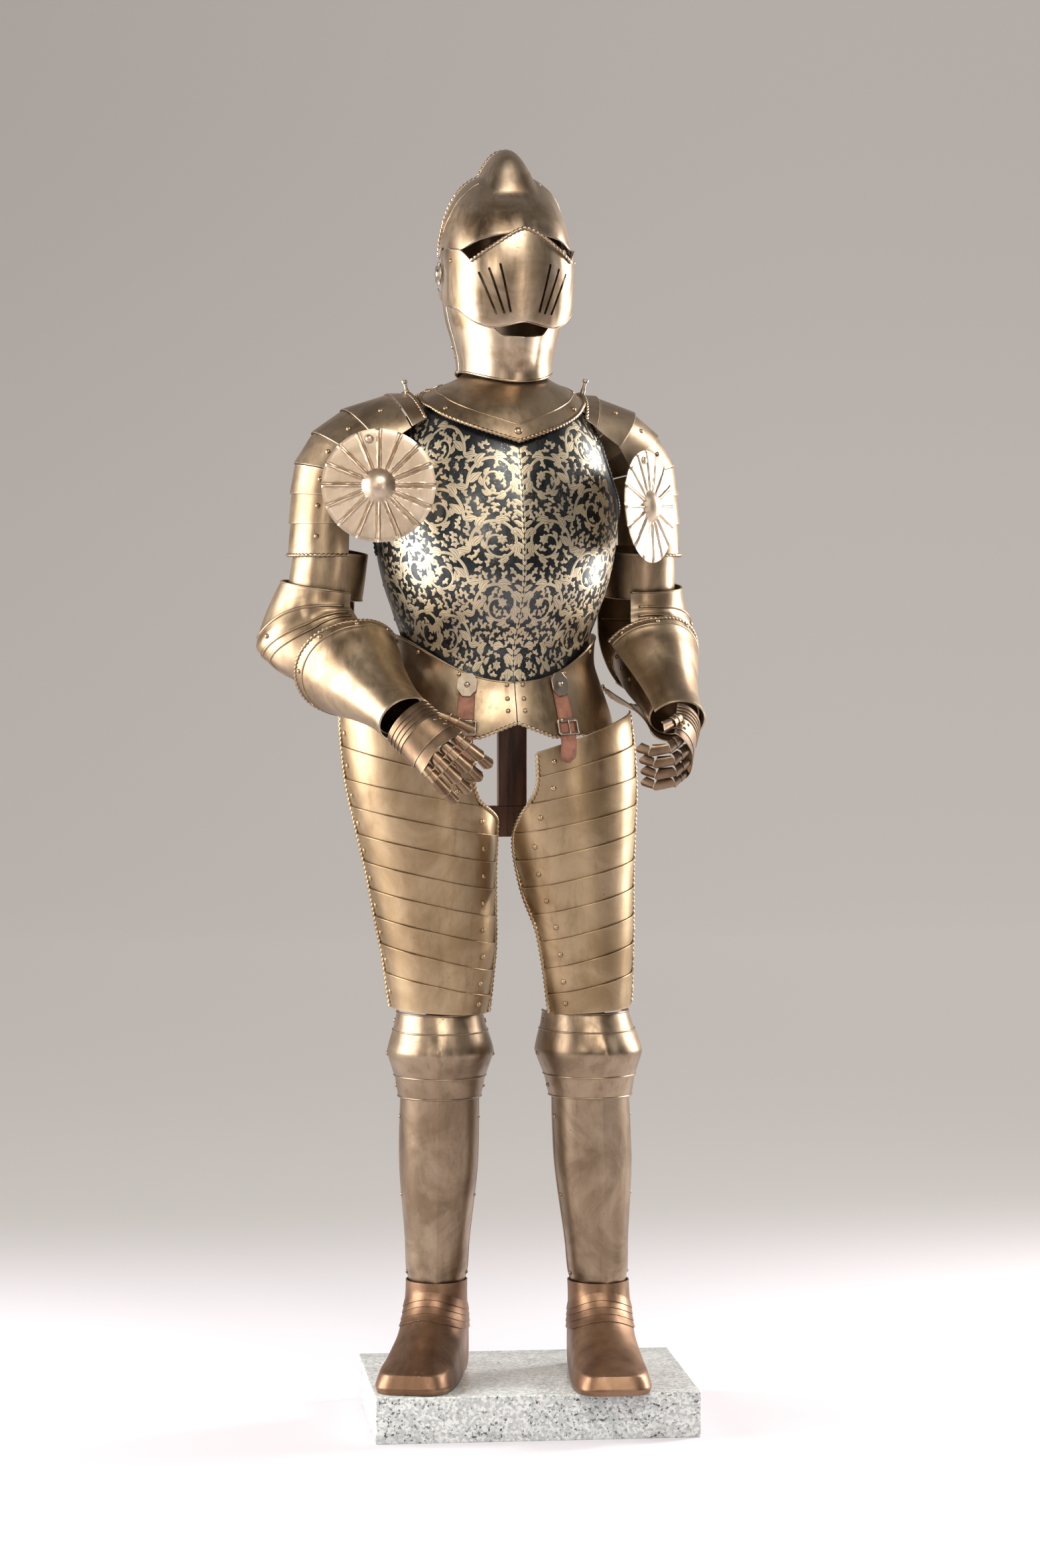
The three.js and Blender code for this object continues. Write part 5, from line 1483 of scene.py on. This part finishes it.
def leafwork():
    """Everything drawn on one half of the breastplate."""
    shapes = []
    for stem in range(len(STEMS["x"])):
        middle, wave, low, high, reach = (STEMS[key][stem] for key in ("x", "wave", "low", "high", "reach"))

        def stem_at(z, middle=middle, wave=wave, low=low):
            return middle - wave * cos(pi * (z - low) / RISE)
        line = [(stem_at(z), z) for z in spread(low - 22, high, 90)]
        shapes.append(ribbon(line, 2.4, 1.2))
        for k in range(int((high - low) / RISE) + 1):
            side = -1 if k % 2 == 0 else 1
            root = low + RISE * k - 16
            shapes += spiral(stem_at(root), root, stem_at(root) + side * reach, root + 13, -side)
            shapes.append(leaf(stem_at(root), root, 90 + side * 62, 22, 5.8, side * 40))
            shapes.append(leaf(stem_at(root + 8), root + 8, 90 - side * 24, 24, 6.2, -side * 46))
    # An ear of paired leaves climbs the keel.
    for k in range(22):
        z = 1052 + 15.5 * k
        shapes.append(leaf(1.4, z, 62, 17, 4.2, -46, lobes=2, stations=8))
        shapes.append(leaf(1.0, z + 7, 84, 9, 1.6, -10, lobes=0, stations=5))
    return [rows for rows in shapes if all(on_breast(row[0], row[1]) for row in rows)]


def fillers(shapes, cell=3.2):
    """Small three-leaved sprigs in whatever ground the spirals leave open."""
    taken = {(round(row[0] / cell), round(row[1] / cell)) for rows in shapes for row in rows}

    def free(x, z, around):
        a, b = round(x / cell), round(z / cell)
        return all((a + i, b + j) not in taken for i in range(-around, around + 1)
                   for j in range(-around, around + 1))

    sprigs = []
    for i in range(34):
        for j in range(56):
            wobble = sin(12.9898 * i + 78.233 * j) * 43758.5453 % 1
            x = 5 + 7.6 * i + 3.0 * wobble
            z = 1045 + 7.2 * j + (3.6 if i % 2 else 0)
            if on_breast(x, z, 9) and free(x, z, 1):
                heading = 360 * wobble
                for fan in (-62, 0, 62):
                    rows = leaf(x, z, heading + fan, 7.6, 2.3, fan / 3, lobes=0, stations=5)
                    sprigs.append(rows)
                taken.update((round(row[0] / cell), round(row[1] / cell)) for rows in sprigs[-3:]
                             for row in rows)
    return sprigs


def scrollwork():
    half = leafwork()
    half += fillers(half)
    mirrored = [[(-x, z, nx, -nz, w) for x, z, nx, nz, w in rows] for rows in half]
    stations = [row for rows in half + mirrored for row in rows]
    last = len(stations) - 1

    def surface(u, v):
        x, z, nx, nz, half_width = stations[round(v * last)]
        aside = (2 * u - 1) * half_width
        px, pz = x + nx * aside, z + nz * aside
        proud = 0.12 + 0.26 * (1 - abs(2 * u - 1)) if half_width else 0.12
        return IN_TRUNK @ trunk_point(degrees(px / GIRTH), pz, proud)

    leaves = bent_grid("breast_leafwork", surface, 2, last)
    in_edit(leaves,
            lambda: bpy.ops.mesh.remove_doubles(threshold=0.01 * MM),
            lambda: bpy.ops.mesh.delete_loose(use_verts=True, use_edges=True, use_faces=False))
    face_away(leaves, IN_TRUNK @ Vector((0, 0, 1250)))
    alone(leaves)
    bpy.ops.object.shade_smooth()
    return leaves


# ---------------------------------------------------------------- the suit, piece by piece

finished(brow_plate(), BRIGHT_STEEL, "brow_plate")
finished(skull_plate(), BRIGHT_STEEL, "skull")
finished(visor(), BRIGHT_STEEL, "visor", body="visor")
finished(bevor(), BRIGHT_STEEL, "bevor")
finished(breastplate(), GROUND, "breastplate")
finished(scrollwork(), GILT, ())
finished(backplate(), BRONZED_STEEL, "backplate")
finished(gorget(0), BRONZED_STEEL, "gorget_front")
finished(gorget(180), BRONZED_STEEL, "gorget_back")
FAULD_STUDS = [(0.05, 0.93), (0.33, 0.93), (0.66, 0.93), (0.955, 0.35), (0.955, 0.62), (0.955, 0.93)]
finished(fauld("fauld_right", -90.5, -0.2, 48, FAULD_STUDS), BRONZED_STEEL, "fauld_right")
mirrored_studs = [(1 - u, v) for u, v in FAULD_STUDS]
finished(fauld("fauld_left", 0.2, 90.5, 48, mirrored_studs), BRONZED_STEEL, "fauld_left")
BACK_STUDS = [(0.03, 0.5), (0.5, 0.9), (0.97, 0.5)]
finished(fauld("fauld_back", 91, 269, 72, BACK_STUDS), BRONZED_STEEL, "fauld_back")

for side, sign in SIDES:
    def named(piece, name):
        piece.name = piece.data.name = f"{name}_{side}_dressed"
        return piece

    finished(named(rosette(sign), "rosette"), FITTINGS, f"rosette_{side}")
    finished(named(strap(sign), "strap"), STRAP_LEATHER, f"strap_{side}")
    finished(named(strap_fittings(sign), "strap_plate"), FITTINGS, f"strap_plate_{side}")
    finished(named(turning_pin(sign), "turning_pin"), FITTINGS, ())
    neck = shoulder_lames("neck_lame", sign, (0, 0.98), roped=(0,))
    finished(named(neck, "neck_lame"), BRONZED_STEEL, f"neck_lame_{side}")
    upper = shoulder_lames("pauldron", sign, (1.02, 2, 3, 4), studs=(0.24, 0.76))
    finished(named(upper, "pauldron"), BRONZED_STEEL, f"pauldron_{side}")
    lower = shoulder_lames("upper_arm", sign, (4.03, 5, 6, 7), studs=(0.22, 0.78), roped=(7,))
    finished(named(lower, "upper_arm_lames"), BRONZED_STEEL, f"upper_arm_lames_{side}")
    finished(named(besagew(sign), "besagew"), DISC_STEEL, f"besagew_{side}")
    finished(named(rerebrace(sign), "rerebrace"), BRONZED_STEEL, f"rerebrace_{side}")
    finished(named(couter(sign), "couter"), BRONZED_STEEL, f"couter_{side}")
    finished(named(vambrace(sign), "vambrace"), HAND_STEEL, f"vambrace_{side}")
    finished(named(cuff(sign), "cuff"), BRONZED_STEEL, f"cuff_{side}")
    finished(named(hand(sign), "hand"), HAND_STEEL, f"hand_{side}")
    finished(named(thigh(sign), "thigh"), LACQUERED_STEEL, f"thigh_{side}")
    finished(named(poleyn(sign), "poleyn"), SHIN_STEEL, f"poleyn_{side}")
    finished(named(greave(sign), "greave"), SHIN_STEEL, f"greave_{side}")
    finished(named(sabaton(sign), "sabaton"), BROWNED_STEEL, f"sabaton_{side}")
    finished(planed(f"leg_post_{side}", 1.5), TIMBER, f"leg_post_{side}")

for beam in ("hip_bar", "post", "shoulder_bar"):
    finished(planed(beam, 1.5), TIMBER, beam)
finished(planed("plinth", 2.0), GRANITE, "plinth")


# ---------------------------------------------------------------- camera, room and lights

def stage_camera():
    turn, tilt, distance, height, aside = -6.2, 3.0, 6.15, 1.278, 0.009
    right = Vector((cos(radians(turn)), sin(radians(turn)), 0))
    back = Vector((sin(radians(turn)), -cos(radians(turn)), 0))
    data = bpy.data.cameras.new("view")
    data.sensor_fit = "VERTICAL"
    data.sensor_height = 36
    data.lens = 94.5
    data.dof.use_dof = False
    camera = bpy.data.objects.new("view", data)
    bpy.context.scene.collection.objects.link(camera)
    camera.location = back * distance - right * aside + Vector((0, 0, height))
    camera.rotation_euler = (radians(90 - tilt), 0, radians(turn))
    bpy.context.scene.camera = camera


def soft_light(name, place, target, size, watts, colour):
    data = bpy.data.lights.new(name, "AREA")
    data.shape = "RECTANGLE"
    data.size, data.size_y = size
    data.energy = watts
    data.color = colour
    lamp = bpy.data.objects.new(name, data)
    bpy.context.scene.collection.objects.link(lamp)
    lamp.location = place
    lamp.rotation_euler = (Vector(target) - Vector(place)).to_track_quat("-Z", "Y").to_euler()


def studio():
    """A pale floor, darkened behind the suit by painted shade, that sweeps up into a far wall; the paper has
    a painted glow, and soft lights stand around it.
    """
    def surface(u, v):
        reach, radius, height = 9.0, 1.6, 5.5
        front, rear = -8.0, 8.0
        along = v * (rear - front + radius * radians(90) + height)
        x = mix(-reach, reach, u)
        if along < rear - front:
            return Vector((x, front + along, 0))
        bend = (along - (rear - front)) / radius
        if bend < radians(90):
            return Vector((x, rear + radius * sin(bend), radius * (1 - cos(bend))))
        return Vector((x, rear + radius, radius + along - (rear - front) - radius * radians(90)))

    paper = bent_grid("studio_paper", surface, 4, 80)
    alone(paper)
    bpy.ops.object.shade_smooth()
    made, tree, shader = material("pale_paper_painted_glow")
    place = node(tree, "ShaderNodeSeparateXYZ", {0: node(tree, "ShaderNodeTexCoord").outputs["Object"]})
    # Painted shade: the floor's colour goes from pale to dark grey behind the suit.
    far = remap(tree, place.outputs["Y"], 0.6, 2.2)
    tree.links.new(blended(tree, far, (0.50, 0.48, 0.50), (0.12, 0.12, 0.12)), shader.inputs["Base Color"])
    # Painted glow: the paper emits light, darker towards the top of the wall, lighter to the right, and
    # fainter on the near floor.
    wall = blended(tree, remap(tree, place.outputs["Z"], 0.0, 3.2), (0.42, 0.385, 0.36),
                   (0.345, 0.305, 0.285))
    wall = blended(tree, remap(tree, place.outputs["X"], -2.4, 2.4, 0.0, 0.16), wall, (0.75, 0.70, 0.64))
    tree.links.new(blended(tree, far, (0.30, 0.285, 0.30), wall), shader.inputs["Emission Color"])
    shader.inputs["Emission Strength"].default_value = 1.0
    shader.inputs["Roughness"].default_value = 0.75
    paper.data.materials.clear()
    paper.data.materials.append(made)

    world = bpy.data.worlds.new("studio_air")
    world.use_nodes = True
    air = world.node_tree
    # The far side of the room, behind the camera, is dim; the paper throws light from behind the suit.
    heading = node(air, "ShaderNodeSeparateXYZ", {0: node(air, "ShaderNodeTexCoord").outputs["Generated"]})
    glow = blended(air, remap(air, heading.outputs["Y"], -0.5, 0.5), (0.085, 0.078, 0.072),
                   (0.34, 0.33, 0.33))
    air.links.new(glow, air.nodes["Background"].inputs["Color"])
    air.nodes["Background"].inputs["Strength"].default_value = 1.0
    bpy.context.scene.world = world

    middle = (0, 0, 1.0)
    soft_light("window_left", (-2.7, 0.0, 1.5), (0, 0, 1.1), (2.2, 2.4), 150, (1.0, 0.97, 0.94))
    soft_light("front_left", (-1.9, -3.4, 2.2), middle, (0.7, 0.9), 22, (1.0, 0.93, 0.84))
    soft_light("front_top", (0.2, -2.6, 3.5), (0, 0, 1.1), (2.0, 1.3), 78, (1.0, 0.95, 0.88))
    soft_light("front_right", (1.3, -3.9, 1.3), (0, 0, 1.0), (0.35, 1.6), 20, (1.0, 0.93, 0.85))
    soft_light("rear_right", (2.4, 0.9, 1.6), (0, 0, 1.1), (0.6, 2.2), 110, (1.0, 0.97, 0.94))
    bpy.context.scene.view_settings.view_transform = "Standard"


stage_camera()
studio()
